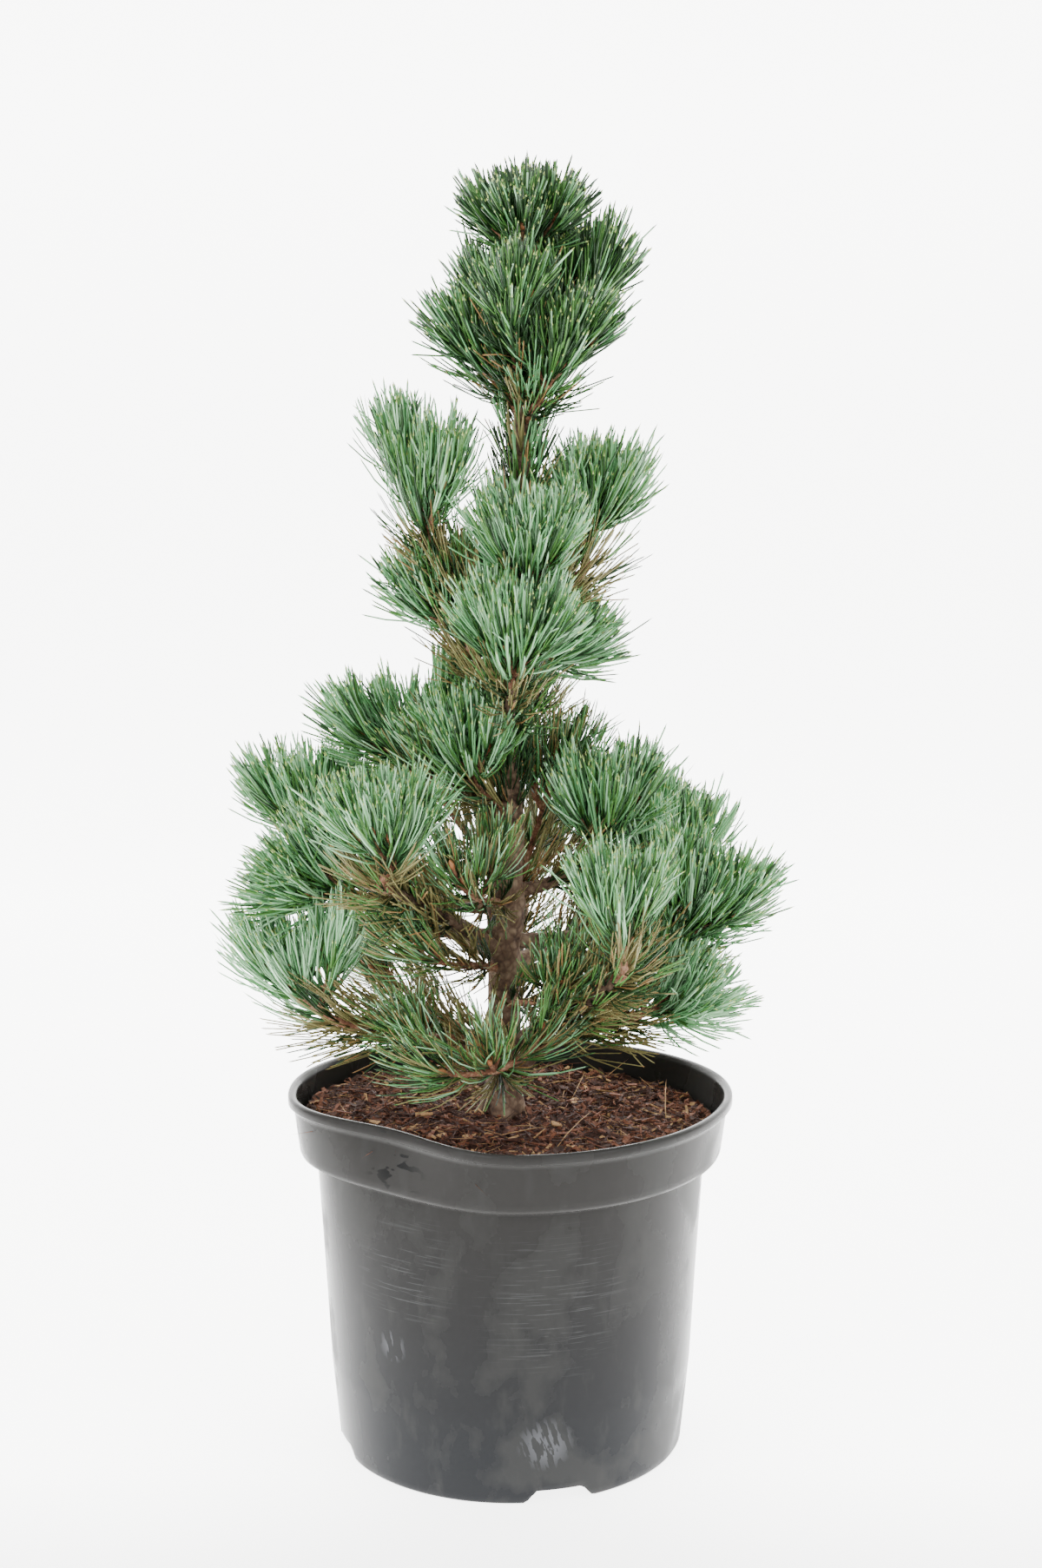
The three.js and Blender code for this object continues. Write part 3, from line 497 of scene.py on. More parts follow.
@dataclass
class Strands:
    """Thin three-sided strands: root + length * (way * t + bow * t squared), at share t.

    The way is the unit direction that each sets out in, the bow how far its end is drawn aside,
    as a share of its length, and its first side faces outward.
    """

    root: Array
    way: Array
    bow: Array
    outward: Array
    length: Array

    def chosen(self, mask: Array) -> "Strands":
        """Only the strands that a mask picks."""
        return Strands(*(rows[mask] for rows in vars(self).values()))

    def mesh(self, blade: Blade, slim: float = 1.0) -> tuple[Array, list[Array]]:
        """Works out the strands' points and faces.

        Args:
            blade: The form of each.
            slim: What its width is multiplied by.

        Returns:
            The points, and the faces: each side's from the root up, then the three of the tip,
            then the root's.
        """
        total, count = len(self.root), len(blade.rings)
        t = np.array([*blade.rings, 1.0])[None, :, None]
        spine = self.root[:, None] + self.length[:, None, None] * (
            self.way[:, None] * t + self.bow[:, None] * t**2)
        side = unit(np.cross(self.outward, self.way) + STRAND_NUDGE)
        ring = turned(side[:, None], np.cross(self.way, side)[:, None], angles(3) + np.pi / 6)
        wide = (blade.radius * slim * np.array(blade.taper))[:, None, None]
        body = spine[:, :count, None] + ring[:, None] * wide
        points = np.concatenate([body.reshape(total, -1, 3), spine[:, count:]], 1)
        base = (np.arange(total) * points.shape[1])[:, None]
        top, pairs = 3 * (count - 1), ((0, 1), (1, 2), (2, 0))
        quads = [base + np.array([r + c, r + d, r + 3 + d, r + 3 + c])
                 for c, d in pairs for r in range(0, top, 3)]
        tips = [base + top + np.array([c, d, 3]) for c, d in pairs]
        return points, [*quads, *tips, base + np.array([2, 1, 0])]


def linear(colour: str) -> tuple[float, ...]:
    """An sRGB hex colour as linear red, green, blue and full alpha."""
    parts = [int(colour[i:i + 2], 16) / 255 for i in (1, 3, 5)]
    return (*(p / 12.92 if p <= 0.04045 else ((p + 0.055) / 1.055) ** 2.4 for p in parts), 1.0)


class Coat:
    """A material under way: its tree, its shader, and the object's own coordinates."""

    def __init__(self, name: str) -> None:
        """Starts a material of this name with a plain shader."""
        self.material = bpy.data.materials.new(name)
        self.material.use_nodes = True
        self.tree = self.material.node_tree
        self.shader = self.tree.nodes["Principled BSDF"]
        self.place = self.add("TexCoord").outputs["Object"]

    def feed(self, node: bpy.types.Node, inputs: dict[str | int, Feed]) -> None:
        """Gives a node's inputs what feeds them.

        Args:
            node: The node.
            inputs: For each input, by name or number, an output, an sRGB hex colour or a value.
        """
        for name, value in inputs.items():
            if isinstance(value, Socket):
                self.tree.links.new(value, node.inputs[name])
            else:
                node.inputs[name].default_value = linear(value) if isinstance(value, str) else value

    def add(self, kind: str, inputs: dict[str | int, Feed] | None = None,
            stops: tuple[tuple[float, str], ...] = (), **settings: str) -> bpy.types.Node:
        """Adds a node with its settings and links.

        Args:
            kind: Blender's name of the node's type, after "ShaderNode".
            inputs: What feeds its inputs.
            stops: Places and sRGB hex colours of its colour ramp, if it has one.
            settings: Values of its properties.

        Returns:
            The node.
        """
        node = self.tree.nodes.new("ShaderNode" + kind)
        for name, value in settings.items():
            setattr(node, name, value)
        for _ in stops[2:]:
            node.color_ramp.elements.new(0.5)
        for k, (place, colour) in enumerate(stops):
            node.color_ramp.elements[k].position = place
            node.color_ramp.elements[k].color = linear(colour)
        self.feed(node, inputs or {})
        return node

    def spots(self, size_mm: float, levels: Pair, drawn: tuple[float, ...] = (1, 1, 1),
              detail: float = 5, slant: float = 0) -> Socket:
        """How far smooth noise is above a level, from 0 to 1.

        Args:
            size_mm: How wide its spots are.
            levels: Where it begins to count, and where it counts in full.
            drawn: How often it repeats along x, y and z. Less than 1 draws the spots out.
            detail: How many finer layers of noise it has.
            slant: How far it is turned about y, in radians, before it is drawn out.

        Returns:
            The socket with the share.
        """
        place = self.place
        if slant:
            place = self.add("Mapping", {"Vector": place, "Rotation": (0, slant, 0)}).outputs[0]
        stretch = self.add("Mapping", {"Vector": place, "Scale": drawn}).outputs[0]
        noise = self.add("TexNoise", {"Vector": stretch, "Scale": 1000 / size_mm, "Detail": detail})
        return self.add("MapRange", {"Value": noise.outputs["Fac"], "From Min": levels[0],
                                     "From Max": levels[1]}).outputs[0]

    def rise(self, axis: str, low: float, high: float, most: float = 1.0) -> Socket:
        """A value that rises from 0 to its most, between two places in millimetres on an axis.

        Args:
            axis: X, Y or Z.
            low: Where it is 0.
            high: Where it is at its most.
            most: How much that is.

        Returns:
            The socket with the value.
        """
        along = self.add("SeparateXYZ", {"Vector": self.place}).outputs[axis]
        return self.add("MapRange", {"Value": along, "From Min": low * MM, "From Max": high * MM,
                                     "To Max": most}).outputs[0]

    def near(self, centre: tuple[float, ...], radius: float) -> Socket:
        """How near a place is to a centre, both in millimetres: 1 at its middle, 0 past the radius.

        Args:
            centre: The centre.
            radius: How far its reach goes.

        Returns:
            The socket with the share.
        """
        moved = self.add("Mapping", {"Vector": self.place,
                                     "Location": tuple(-v * MM for v in centre)})
        away = self.add("VectorMath", {0: moved.outputs[0]}, operation="LENGTH").outputs["Value"]
        return self.add("MapRange", {"Value": away, "From Min": radius * MM,
                                     "From Max": 0.4 * radius * MM}).outputs[0]

    def lay(self, under: Feed, over: Feed, *shares: Feed) -> Socket:
        """One colour laid over another, by the product of some shares.

        Args:
            under: The lower colour.
            over: The upper colour.
            shares: How much of the upper colour shows.

        Returns:
            The socket with the mixed colour.
        """
        share = shares[0]
        for other in shares[1:]:
            share = self.add("Math", {0: share, 1: other}, operation="MULTIPLY").outputs[0]
        return self.add("Mix", {0: share, 6: under, 7: over}, data_type="RGBA").outputs[2]

    def finish(self, relief_mm: float, strength: float, height: Socket, colour: Socket,
               **others: Feed) -> None:
        """Feeds the shader a colour and a relief.

        Args:
            relief_mm: How deep the relief is.
            strength: How strongly it tilts the surface.
            height: The relief's height, from 0 to 1.
            colour: The base colour.
            others: What else feeds the shader, with a low line for each space in its name.
        """
        bump = self.add("Bump", {"Height": height, "Strength": strength,
                                 "Distance": relief_mm * MM})
        self.feed(self.shader, {"Base Color": colour, "Normal": bump.outputs["Normal"]})
        self.feed(self.shader, {name.replace("_", " "): value for name, value in others.items()})


@dataclass(frozen=True)
class Finish:
    """What every finish has: a name, a roughness, and its own way to dress a coat."""

    name: str
    roughness: float

    def dress(self, coat: Coat) -> None:
        """Adds the finish's own nodes to its coat."""
        raise NotImplementedError

    def make(self) -> Material:
        """The finished material."""
        coat = Coat(self.name)
        coat.feed(coat.shader, {"Roughness": self.roughness})
        self.dress(coat)
        return coat.material


@dataclass(frozen=True)
class WaxyNeedle(Finish):
    """A living needle: smooth leaf skin under a bloom of wax, which dulls its shine to satin."""

    colour: str

    def dress(self, coat: Coat) -> None:
        """One plain base colour, since the hues are dealt out by spray, under a satin skin."""
        coat.feed(coat.shader, {"Base Color": self.colour, "Specular IOR Level": 0.45})


@dataclass(frozen=True)
class ScalyBark(Finish):
    """Bark of a pine: grey plates that lift over red-brown furrows, dull and dry."""

    deep: str = "#2f1f17"
    middle: str = "#604a3a"
    high: str = "#88735f"
    plate_mm: float = 4.5
    patch_mm: float = 9.0
    grit_mm: float = 1.1
    plate_share: float = 0.55

    def dress(self, coat: Coat) -> None:
        """Plates, higher away from their edges, over soft patches and under fine grit.

        Args:
            coat: The coat.
        """
        plates = coat.add("TexVoronoi", {"Vector": coat.place, "Scale": 1000 / self.plate_mm},
                          feature="DISTANCE_TO_EDGE").outputs["Distance"]
        patches, grit = (
            coat.add("TexNoise", {"Vector": coat.place, "Scale": 1000 / size, "Detail": detail})
            .outputs["Fac"] for size, detail in ((self.patch_mm, 6.0), (self.grit_mm, 4.0)))
        mixed = coat.add("Math", {0: plates, 1: self.plate_share, 2: patches},
                         operation="MULTIPLY_ADD").outputs[0]
        height = coat.add("Math", {0: mixed, 1: grit}, operation="ADD").outputs[0]
        colour = coat.add("ValToRGB", {"Fac": mixed},
                          ((0.3, self.deep), (0.52, self.middle), (0.8, self.high)))
        coat.finish(0.7, 0.8, height, colour.outputs["Color"])


@dataclass(frozen=True)
class Litter(Finish):
    """Shredded bark, straw and fibres: torn plant stuff, each bit a little lighter or darker."""

    dark: str = "#22130c"
    light: str = "#4c2c1d"
    size_mm: float = 3.0

    def dress(self, coat: Coat) -> None:
        """Colour and relief vary over bits of about the given size.

        Args:
            coat: The coat.
        """
        bits = coat.add("TexNoise", {"Vector": coat.place, "Scale": 1000 / self.size_mm,
                                     "Detail": 6.0, "Roughness": 0.7}).outputs["Fac"]
        colour = coat.add("ValToRGB", {"Fac": bits}, ((0.34, self.dark), (0.66, self.light)))
        coat.finish(1.2, 0.8, bits, colour.outputs["Color"])


@dataclass(frozen=True)
class SatinPolypropylene(Finish):
    """Moulded polypropylene, dyed near black: satin, under water marks, scratches and rubs."""

    clean: str = "#202123"
    upper_tint: str = "#2e2d2c"
    filmed: str = "#343433"
    wet: str = "#121314"
    scratched: str = "#3d3e3e"
    rubbed: str = "#48494c"
    shine: float = 0.07
    film_roughness: float = 0.16
    # Heights in millimetres where the wall's colour begins to grow lighter, and where it is
    # lightest.
    lighter_upwards: Pair = (30, 190)
    scratch_bands: tuple[Spot, ...] = (((24, -108, 122), 52), ((-62, -96, 136), 40))
    rubs: tuple[Spot, ...] = (((20, -102, 37), 17), ((-68, -88, 88), 11))
    wet_patches: tuple[Spot, ...] = (((-70, -98, 197), 26),)

    def dress(self, coat: Coat) -> None:
        """Lighter upwards, with cloudy films, level scratches, slanting rubs and drops.

        Args:
            coat: The coat.
        """
        film = coat.spots(34, (0.5, 0.6), (1, 1, 0.75), 6)
        runs = coat.spots(11, (0.56, 0.7), (1, 1, 0.35))
        scratches = coat.spots(26, (0.6, 0.64), (1, 1, 32), 2)
        strokes = coat.spots(3, (0.5, 0.53), (1, 1, 0.22), 4, slant=0.3)
        drops = coat.spots(9, (0.58, 0.61), (0.7, 0.7, 1.6), 2)
        colour = coat.lay(self.clean, self.upper_tint, coat.rise("Z", *self.lighter_upwards))
        colour = coat.lay(colour, self.filmed, film, 0.5)
        colour = coat.lay(colour, self.filmed, runs, 0.4)
        for marks, over, spots in ((scratches, self.scratched, self.scratch_bands),
                                   (strokes, self.rubbed, self.rubs),
                                   (drops, self.wet, self.wet_patches)):
            for spot in spots:
                colour = coat.lay(colour, over, marks, coat.near(*spot))
        rough = coat.add("MapRange", {"Value": film, "To Min": self.roughness,
                                      "To Max": self.roughness + self.film_roughness}).outputs[0]
        coat.finish(0.12, 0.2, runs, colour, Roughness=rough, Specular_IOR_Level=self.shine)


@dataclass(frozen=True)
class PaintedBackdrop(Finish):
    """Matt white paint on a sheet, lit so evenly behind the plant that it glows."""

    colour: str = "#fbfbfa"
    glow: float = 5.3
    glow_from: float = -380
    glow_full: float = -60

    def dress(self, coat: Coat) -> None:
        """One colour, whose glow rises from the front backwards."""
        glow = coat.rise("Y", self.glow_from, self.glow_full, self.glow)
        coat.feed(coat.shader, {"Base Color": self.colour, "Emission Color": self.colour,
                                "Emission Strength": glow})


def bark_relief(along: Array, radius: Array, depth: float, seed: int) -> Array:
    """How far the bark stands out: ridges where smooth noise is near its middle, under grit.

    Args:
        along: How far along the limb each ring lies. Plates are drawn out that way.
        radius: The limb's radius at each ring and point.
        depth: The most that the bark stands out or lies in.
        seed: Which noise it is.

    Returns:
        A distance for each ring and point.
    """
    skin = lathe(radius, PLATE_ALONG * along, radius.shape[1]).reshape(-1, 3)
    plates = 1 - 2 * np.abs(grain(skin, PLATE, seed))
    grit = grain(skin, GRIT, seed + 1)
    return depth * (PLATE_SHARE * plates + (1 - PLATE_SHARE) * grit).reshape(radius.shape)


@dataclass
class Trunk:
    """The stem: height, x, y and radius at each station, and its root flare."""

    stations: tuple[tuple[float, float, float, float], ...] = (
        (194, -5, 1, 13), (216, -4, 0, 9.6), (296, -3.5, 0, 9), (324, -2.6, 0, 11.2),
        (340, -1.6, 0, 8.2), (372, 1.1, 0, 6.4), (428, -4.6, 0, 6.1), (474, 1.2, 0, 5.8),
        (562, 6.1, 0, 5.2), (640, 9, 0, 4.2), (684, 12, 0, 3),
    )
    soil_level: float = 197
    flare_roots: int = 4
    flare_depth: float = 0.2
    flare_height: float = 26
    sides: int = 56
    rings: int = 420
    relief: float = 0.75
    seed: int = 11

    def __post_init__(self) -> None:
        """Works out the axis through the stations."""
        self.path = Path([np.array([x, y, z]) for z, x, y, _ in self.stations])

    def point(self, height: float) -> Array:
        """The point of the axis at a height."""
        run = self.path.samples
        return np.array([np.interp(height, run[:, 2], run[:, k]) for k in range(3)])

    def build(self, shape: Shape) -> None:
        """Radius times one plus the flare's four swellings, plus plates of bark on the skin.

        Args:
            shape: The mesh that it is added to.
        """
        shares = np.linspace(0, 1, self.rings)
        height, table = self.path.at(shares)[:, 2], np.array(self.stations)
        flare = np.maximum(0, 1 - (height - self.soil_level) / self.flare_height) ** 2
        swell = self.flare_depth * flare[:, None] * np.cos(self.flare_roots * angles(self.sides))
        radius = np.interp(height, table[:, 0], table[:, 3])[:, None] * (1 + swell)
        tube(self.path, shares, radius + bark_relief(height, radius, self.relief, self.seed), shape)


@dataclass
class Boughs:
    """The limbs off the trunk, each one tapering tube with bark."""

    trunk: Trunk
    rows: tuple[Bough, ...] = BOUGHS
    sides: int = 26
    ring_step: float = 1.3
    relief: float = 0.4
    seed: int = 31

    def __post_init__(self) -> None:
        """Carries each limb from the trunk's axis over a middle raised by its bow to its tip.

        The path and the last radius of each are kept by name, with the trunk's own.
        """
        self.ends = {"trunk_tip": (self.trunk.path, self.trunk.stations[-1][3])}
        for row in self.rows:
            root = self.trunk.point(row.height)
            tip = root + row.reach * heading(row.bearing, 0)
            tip[2] = row.height + row.rise
            self.ends[row.name] = (Path([root, (root + tip) / 2 + row.bow * UP, tip]), row.tip)

    def build(self, shape: Shape) -> None:
        """A tube along each path, its radius falling evenly from root to tip, plus bark.

        Args:
            shape: The mesh that they are added to.
        """
        for index, row in enumerate(self.rows):
            path = self.ends[row.name][0]
            shares = np.linspace(0, 1, int(path.length / self.ring_step))
            radius = np.repeat((row.root + (row.tip - row.root) * shares)[:, None], self.sides, 1)
            bark = bark_relief(shares * path.length, radius, self.relief, self.seed + index)
            tube(path, shares, radius + bark, shape)


@dataclass
class Shoot:
    """One stretch of wood with needles on it, and how wide its old needles stand."""

    path: Path
    root_radius: float
    mass: Mass
    needle: float
    age: Age
    old_splay: float = 46


@dataclass
class Shoots:
    """The stems, side twigs and finer twigs of the masses, with their buds."""

    limbs: Boughs
    rows: tuple[Mass, ...] = MASSES
    stem_radius: float = 2.5
    shoot_radius: float = 1.9
    fine_radius: float = 1.3
    end_radius: float = 1.04
    taper: float = 1.3
    leafy: float = 13
    whorl_step: float = 6
    lift: float = 0.35
    lowest_twig: float = 0.3
    turn_jitter: float = 16
    spread_jitter: float = 10
    twig_reach: Pair = (0.9, 1.1)
    fine_count: int = 3
    fine_spread: float = 25
    fine_spreads: Pair = (0.85, 1.15)
    fine_forks: Pair = (0.7, 1.2)
    fine_reach: float = 4
    fine_leafy: float = 10.4
    fine_lift: float = 0.175
    fine_needle: float = 0.86
    old_trunk: tuple[float, float, int] = (376, 668, 13)
    old_trunk_mass: str = "mass_top_left"
    old_trunk_radius: float = 4.5
    old_trunk_needle: float = 38
    old_trunk_splay: float = 42
    old_limb: tuple[float, float, int] = (0.42, 1, 6)
    sides: int = 7
    ring_step: float = 1.5
    peg: float = 0.3
    peg_turn: float = 2.4
    peg_power: float = 3
    least_rings: int = 4
    bud_length: float = 6.5
    bud_radius: float = 1.9
    bud_sides: int = 6
    bud_arc: Pair = (0.22, 0.985)
    bud_power: float = 0.8

    def grow(self) -> list[Shoot]:
        """Each mass's stem, its whorl of twigs by the seeded rule, and finer twigs on those.

        Returns:
            The shoots, mass by mass.
        """
        found: list[Shoot] = []
        for index, mass in enumerate(self.rows):
            numbers = SeededNumbers(SEED + SEED_STEP * index)
            main = self.whorl(mass, numbers)
            found += main
            for shoot in main:
                found += self.finer(shoot, numbers)
        return found

    def root(self, mass: Mass) -> tuple[Array, Array, float]:
        """Finds a stem's foot: on the trunk's axis, or just past the end of what bears it.

        Args:
            mass: The mass.

        Returns:
            Where the stem begins, which way it sets out, and its radius there.
        """
        if not isinstance(mass.on, str):
            return self.limbs.trunk.point(mass.on), heading(*mass.stem[:2]), self.stem_radius
        path, radius = self.limbs.ends[mass.on]
        way = path.tangent(1.0)[0]
        return path.at(1.0)[0] + CLEARANCE * way, way, radius

    def whorl(self, mass: Mass, numbers: SeededNumbers) -> list[Shoot]:
        """A stem through its base to its leafy end, and side twigs spread out just below that.

        Args:
            mass: The mass.
            numbers: Where its chance comes from.

        Returns:
            The stem, then its twigs.
        """
        start, first, radius = self.root(mass)
        base = start + mass.stem[2] * heading(*mass.stem[:2])
        end = heading(*mass.end)
        stem = Path([start, start + first * mass.stem[2] / 3, base, base + end * self.leafy])
        found = [Shoot(stem, radius, mass, mass.needle, Age.SHOOT)]
        for i in range(mass.twigs):
            back = self.leafy + self.whorl_step * (i + 0.5)
            fork = stem.at(max(self.lowest_twig, 1 - back / stem.length))[0]
            turn = mass.turn + i * 360 / max(mass.twigs, 2)
            side = heading(turn + self.turn_jitter * numbers.between(-0.5, 0.5), 0)
            side = unit(side - (side @ end) * end)
            spread = mass.spread + self.spread_jitter * numbers.between(-0.5, 0.5)
            out = turned(end, side, np.radians(spread))
            middle = fork + out * mass.twig * numbers.between(*self.twig_reach)
            twig = Path([fork, middle, middle + unit(out + self.lift * UP) * self.leafy])
            found.append(Shoot(twig, self.shoot_radius, mass, mass.needle, Age.SHOOT))
        return found

    def finer(self, shoot: Shoot, numbers: SeededNumbers) -> list[Shoot]:
        """Short twigs round a shoot's leafy end, spread evenly with a random turn.

        Args:
            shoot: The shoot that bears them.
            numbers: Where their chance comes from.

        Returns:
            The twigs.
        """
        way = shoot.path.tangent(1.0)[0]
        side = unit(np.cross(way, UP) + NUDGE)
        other = np.cross(way, side)
        first = 2 * np.pi * numbers.draw()
        found = []
        for turn in first + angles(self.fine_count):
            spread = np.radians(self.fine_spread * numbers.between(*self.fine_spreads))
            out = turned(way, turned(side, other, turn), spread)
            back = self.leafy * numbers.between(*self.fine_forks)
            fork = shoot.path.at(max(self.lowest_twig, 1 - back / shoot.path.length))[0]
            middle = fork + out * self.fine_reach
            twig = Path([fork, middle, middle + unit(out + self.fine_lift * UP) * self.fine_leafy])
            found.append(Shoot(twig, self.fine_radius, shoot.mass, shoot.needle * self.fine_needle,
                               Age.FINE))
        return found

    def old_wood(self) -> list[Shoot]:
        """The trunk's upper stretch and the outer part of each limb, which keep older needles.

        Returns:
            The stretches. Their wood is built with the trunk and the limbs.
        """
        masses = {key: mass for mass in self.rows for key in (mass.name, mass.on)}
        upper = Path([self.limbs.trunk.point(h) for h in np.linspace(*self.old_trunk)])
        found = [Shoot(upper, self.old_trunk_radius, masses[self.old_trunk_mass],
                       self.old_trunk_needle, Age.OLD_WOOD, self.old_trunk_splay)]
        for row in self.limbs.rows:
            path, radius = self.limbs.ends[row.name]
            outer = Path(list(path.at(np.linspace(*self.old_limb))))
            mass = masses[row.name]
            found.append(Shoot(outer, radius, mass, mass.needle, Age.OLD_WOOD))
        return found

    def build(self, shoots: list[Shoot], twigs: Shape, buds: Shape) -> None:
        """Tubes roughened by pegs in a spiral, which old needles left, each ending in a bud.

        A bud's radius is a power of the sine along most of half a turn.

        Args:
            shoots: The stems and twigs.
            twigs: The mesh that their wood is added to.
            buds: The mesh that their buds are added to.
        """
        steps = np.linspace(0, 1, self.bud_sides)
        first, last = self.bud_arc
        arc = np.minimum(first + (1 - first) * steps, last)
        bud = self.bud_radius * np.sin(np.pi * arc) ** self.bud_power
        for shoot in shoots:
            count = max(self.least_rings, int(shoot.path.length / self.ring_step))
            shares = np.linspace(0, 1, count)
            plain = shoot.root_radius + (self.end_radius - shoot.root_radius) * shares**self.taper
            spiral = self.peg_turn * np.arange(count)[:, None]
            pegs = np.maximum(0, np.cos(2 * angles(self.sides) + spiral)) ** self.peg_power
            tube(shoot.path, shares, plain[:, None] * (1 + self.peg * pegs), twigs)
            way, tip = shoot.path.tangent(1.0)[0], shoot.path.at(1.0)[0]
            line = Path([tip - way, tip + way * self.bud_length / 2, tip + way * self.bud_length])
            tube(line, steps, np.repeat(bud[:, None], self.bud_sides, 1), buds)


@dataclass
class Needles:
    """Bundles of five needles along the leafy ends, and last year's below them."""

    per_bundle: int = 5
    golden_angle: float = 137.5
    first_turn: float = 6.28
    step: float = 1.3
    old_step: float = 1.15
    tip_gap: float = 0.4
    old_gaps: Pair = (0.5, 1.0)
    root_gap: float = 5
    leafy: float = 30
    brush_leafy: float = 24
    fine_leafy: float = 15
    most_leafy: float = 0.9
    old_stretch: float = 62
    shade_share: float = 0.53
    splay_high: float = 7
    splay_low: float = 53
    shade_splay: float = 8
    brush_splay: float = 38
    splay_power: float = 0.8
    splay_jitter: float = 5
    seat: float = 0.6
    fan_range: Pair = (0.2, 1.5)
    length: float = 1.09
    low_short: float = 0.17
    old_length: float = 0.86
    evenness: Pair = (0.86, 1.03)
    pull_up: float = 0.7
    lean_range: Pair = (0.15, 1.1)
    curl: float = 0.86
    brush_curl: float = 0.55
    old_curl: float = 0.42
    curl_range: Pair = (0.45, 1.5)
    stray: float = 0.13
    living: Blade = Blade(0.62, (0.0, 0.36, 0.7, 0.945), (0.85, 1.0, 1.05, 0.9), 8.0)
    dead: Blade = Blade(0.5, (0.0, 0.5, 0.965), (0.8, 1.0, 0.85), 13.0)
    shade_slim: float = 0.74
    browned: float = 0.06
    brown_tips: float = 0.45
    pale_tips: float = 0.4
    shade_tips: float = 0.12

    def bundles(self, shoot: Shoot, random: Random) -> tuple[Array, ...]:
        """Sets a shoot's bundles in a golden-angle spiral, from its tip back.

        Living ones splay the wider the further back they are. Old ones follow below them, or
        cover the whole of old wood.

        Args:
            shoot: The shoot.
            random: Where their chance comes from.

        Returns:
            Each bundle's share of the path, whether it is old, its turn and its splay.
        """
        length, tone = shoot.path.length, shoot.mass.tone
        brush = shoot.mass.name in BRUSH_MASSES
        coarse = self.brush_leafy if brush else self.leafy
        longest = self.fine_leafy if shoot.age is Age.FINE else coarse
        leafy = min(longest, length * self.most_leafy)
        green = np.arange(self.tip_gap, leafy, self.step)
        end = min(leafy + self.old_stretch, length - self.root_gap)
        brown = np.arange(leafy + self.old_gaps[1], end, self.old_step)
        if shoot.age is Age.FINE:
            brown = brown[:0]
        elif shoot.age is Age.OLD_WOOD:
            green = green[:0]
            brown = np.arange(self.old_gaps[0], length - self.old_gaps[1], self.old_step)
        back = np.concatenate([green, brown])
        old = np.arange(len(back)) >= len(green)
        wide = self.brush_splay if brush else self.splay_low + self.shade_splay * (tone is Tone.OLD)
        high = (1 - np.clip(back / leafy, 0, 1)) ** self.splay_power
        splay = np.where(old, shoot.old_splay, wide + (self.splay_high - wide) * high)
        turn = np.arange(len(back)) * np.radians(self.golden_angle)
        turn = turn + random.uniform(0, self.first_turn)
        kept = random.uniform(size=len(back)) < (self.shade_share if tone is Tone.OLD else 1)
        splay = splay + random.normal(0, self.splay_jitter, len(back))
        return tuple(rows[kept] for rows in (1 - back / length, old, turn, np.radians(splay)))

    def grow(self, shoot: Shoot, random: Random) -> tuple[Strands, Array]:
        """Gives each bundle its needles, which arc up from the shoot.

        A needle sets out at its splay and is drawn towards its shoot's heading and upwards, the
        more the wider it stands, with a little bend of its own.

        Args:
            shoot: The shoot.
            random: Where their chance comes from.

        Returns:
            The needles, and whether each is old.
        """
        share, old, turn, splay = self.bundles(shoot, random)
        axis = shoot.path.tangent(share)
        side = unit(np.cross(axis, UP) + SHOOT_NUDGE)
        outward = turned(side, np.cross(axis, side), turn)
        root = shoot.path.at(share) + outward * self.seat * shoot.root_radius
        root, axis, outward, old, splay = (
            np.repeat(rows, self.per_bundle, 0) for rows in (root, axis, outward, old, splay))
        total = len(old)
        fan = np.radians(np.where(old, self.dead.fan, self.living.fan))
        apart = (fan * random.uniform(*self.fan_range, total))[:, None]
        way = unit(turned(axis, outward, splay) + unit(random.normal(size=(total, 3))) * apart)
        lean = np.clip(np.degrees(splay) / self.splay_low, *self.lean_range)
        length = shoot.needle * self.length * random.uniform(*self.evenness, total)
        length = length * np.where(old, self.old_length, 1 - self.low_short * lean)
        pull = axis + self.pull_up * UP
        aside = unit(pull - (pull * way).sum(-1, keepdims=True) * way)
        curl = self.brush_curl if shoot.mass.tone in (Tone.GREEN, Tone.DEEP) else self.curl
        own = np.where(old, self.old_curl, curl) * random.uniform(*self.curl_range, total) * lean
        stray = self.stray * random.normal(size=(total, 3)) * random.uniform(0, 1, (total, 1))
        return Strands(root, way, own[:, None] * aside + stray, outward, length), old

    def dealt(self, tone: Tone, old: Array,
              random: Random) -> tuple[Array, Array, Array]:
        """Deals out the hues: to each side by the tone's shares, and to old needles by bundle.

        Args:
            tone: The tone of their mass.
            old: Whether each needle is old.
            random: Where the chance comes from.

        Returns:
            The hue of each needle's outer side, its inner sides and its tip.
        """
        total = len(old)
        inner, outer = (random.choice(len(Hue), total, p=shares) for shares in tone.value)
        dull = AGED_GREEN if tone in (Tone.GREEN, Tone.DEEP) else AGED
        aged = np.repeat(random.choice(dull, total // self.per_bundle), self.per_bundle)
        aged = np.where(random.uniform(size=total) < self.browned, Hue.BROWN, aged)
        inner, outer = np.where(old, aged, inner), np.where(old, aged, outer)
        dry = np.where(random.uniform(size=total) < self.brown_tips, Hue.BROWN, aged)
        lit = self.shade_tips if tone is Tone.OLD else self.pale_tips
        pale = random.uniform(size=total) < lit
        return outer, inner, np.where(old, dry, np.where(pale, Hue.YELLOW, outer))

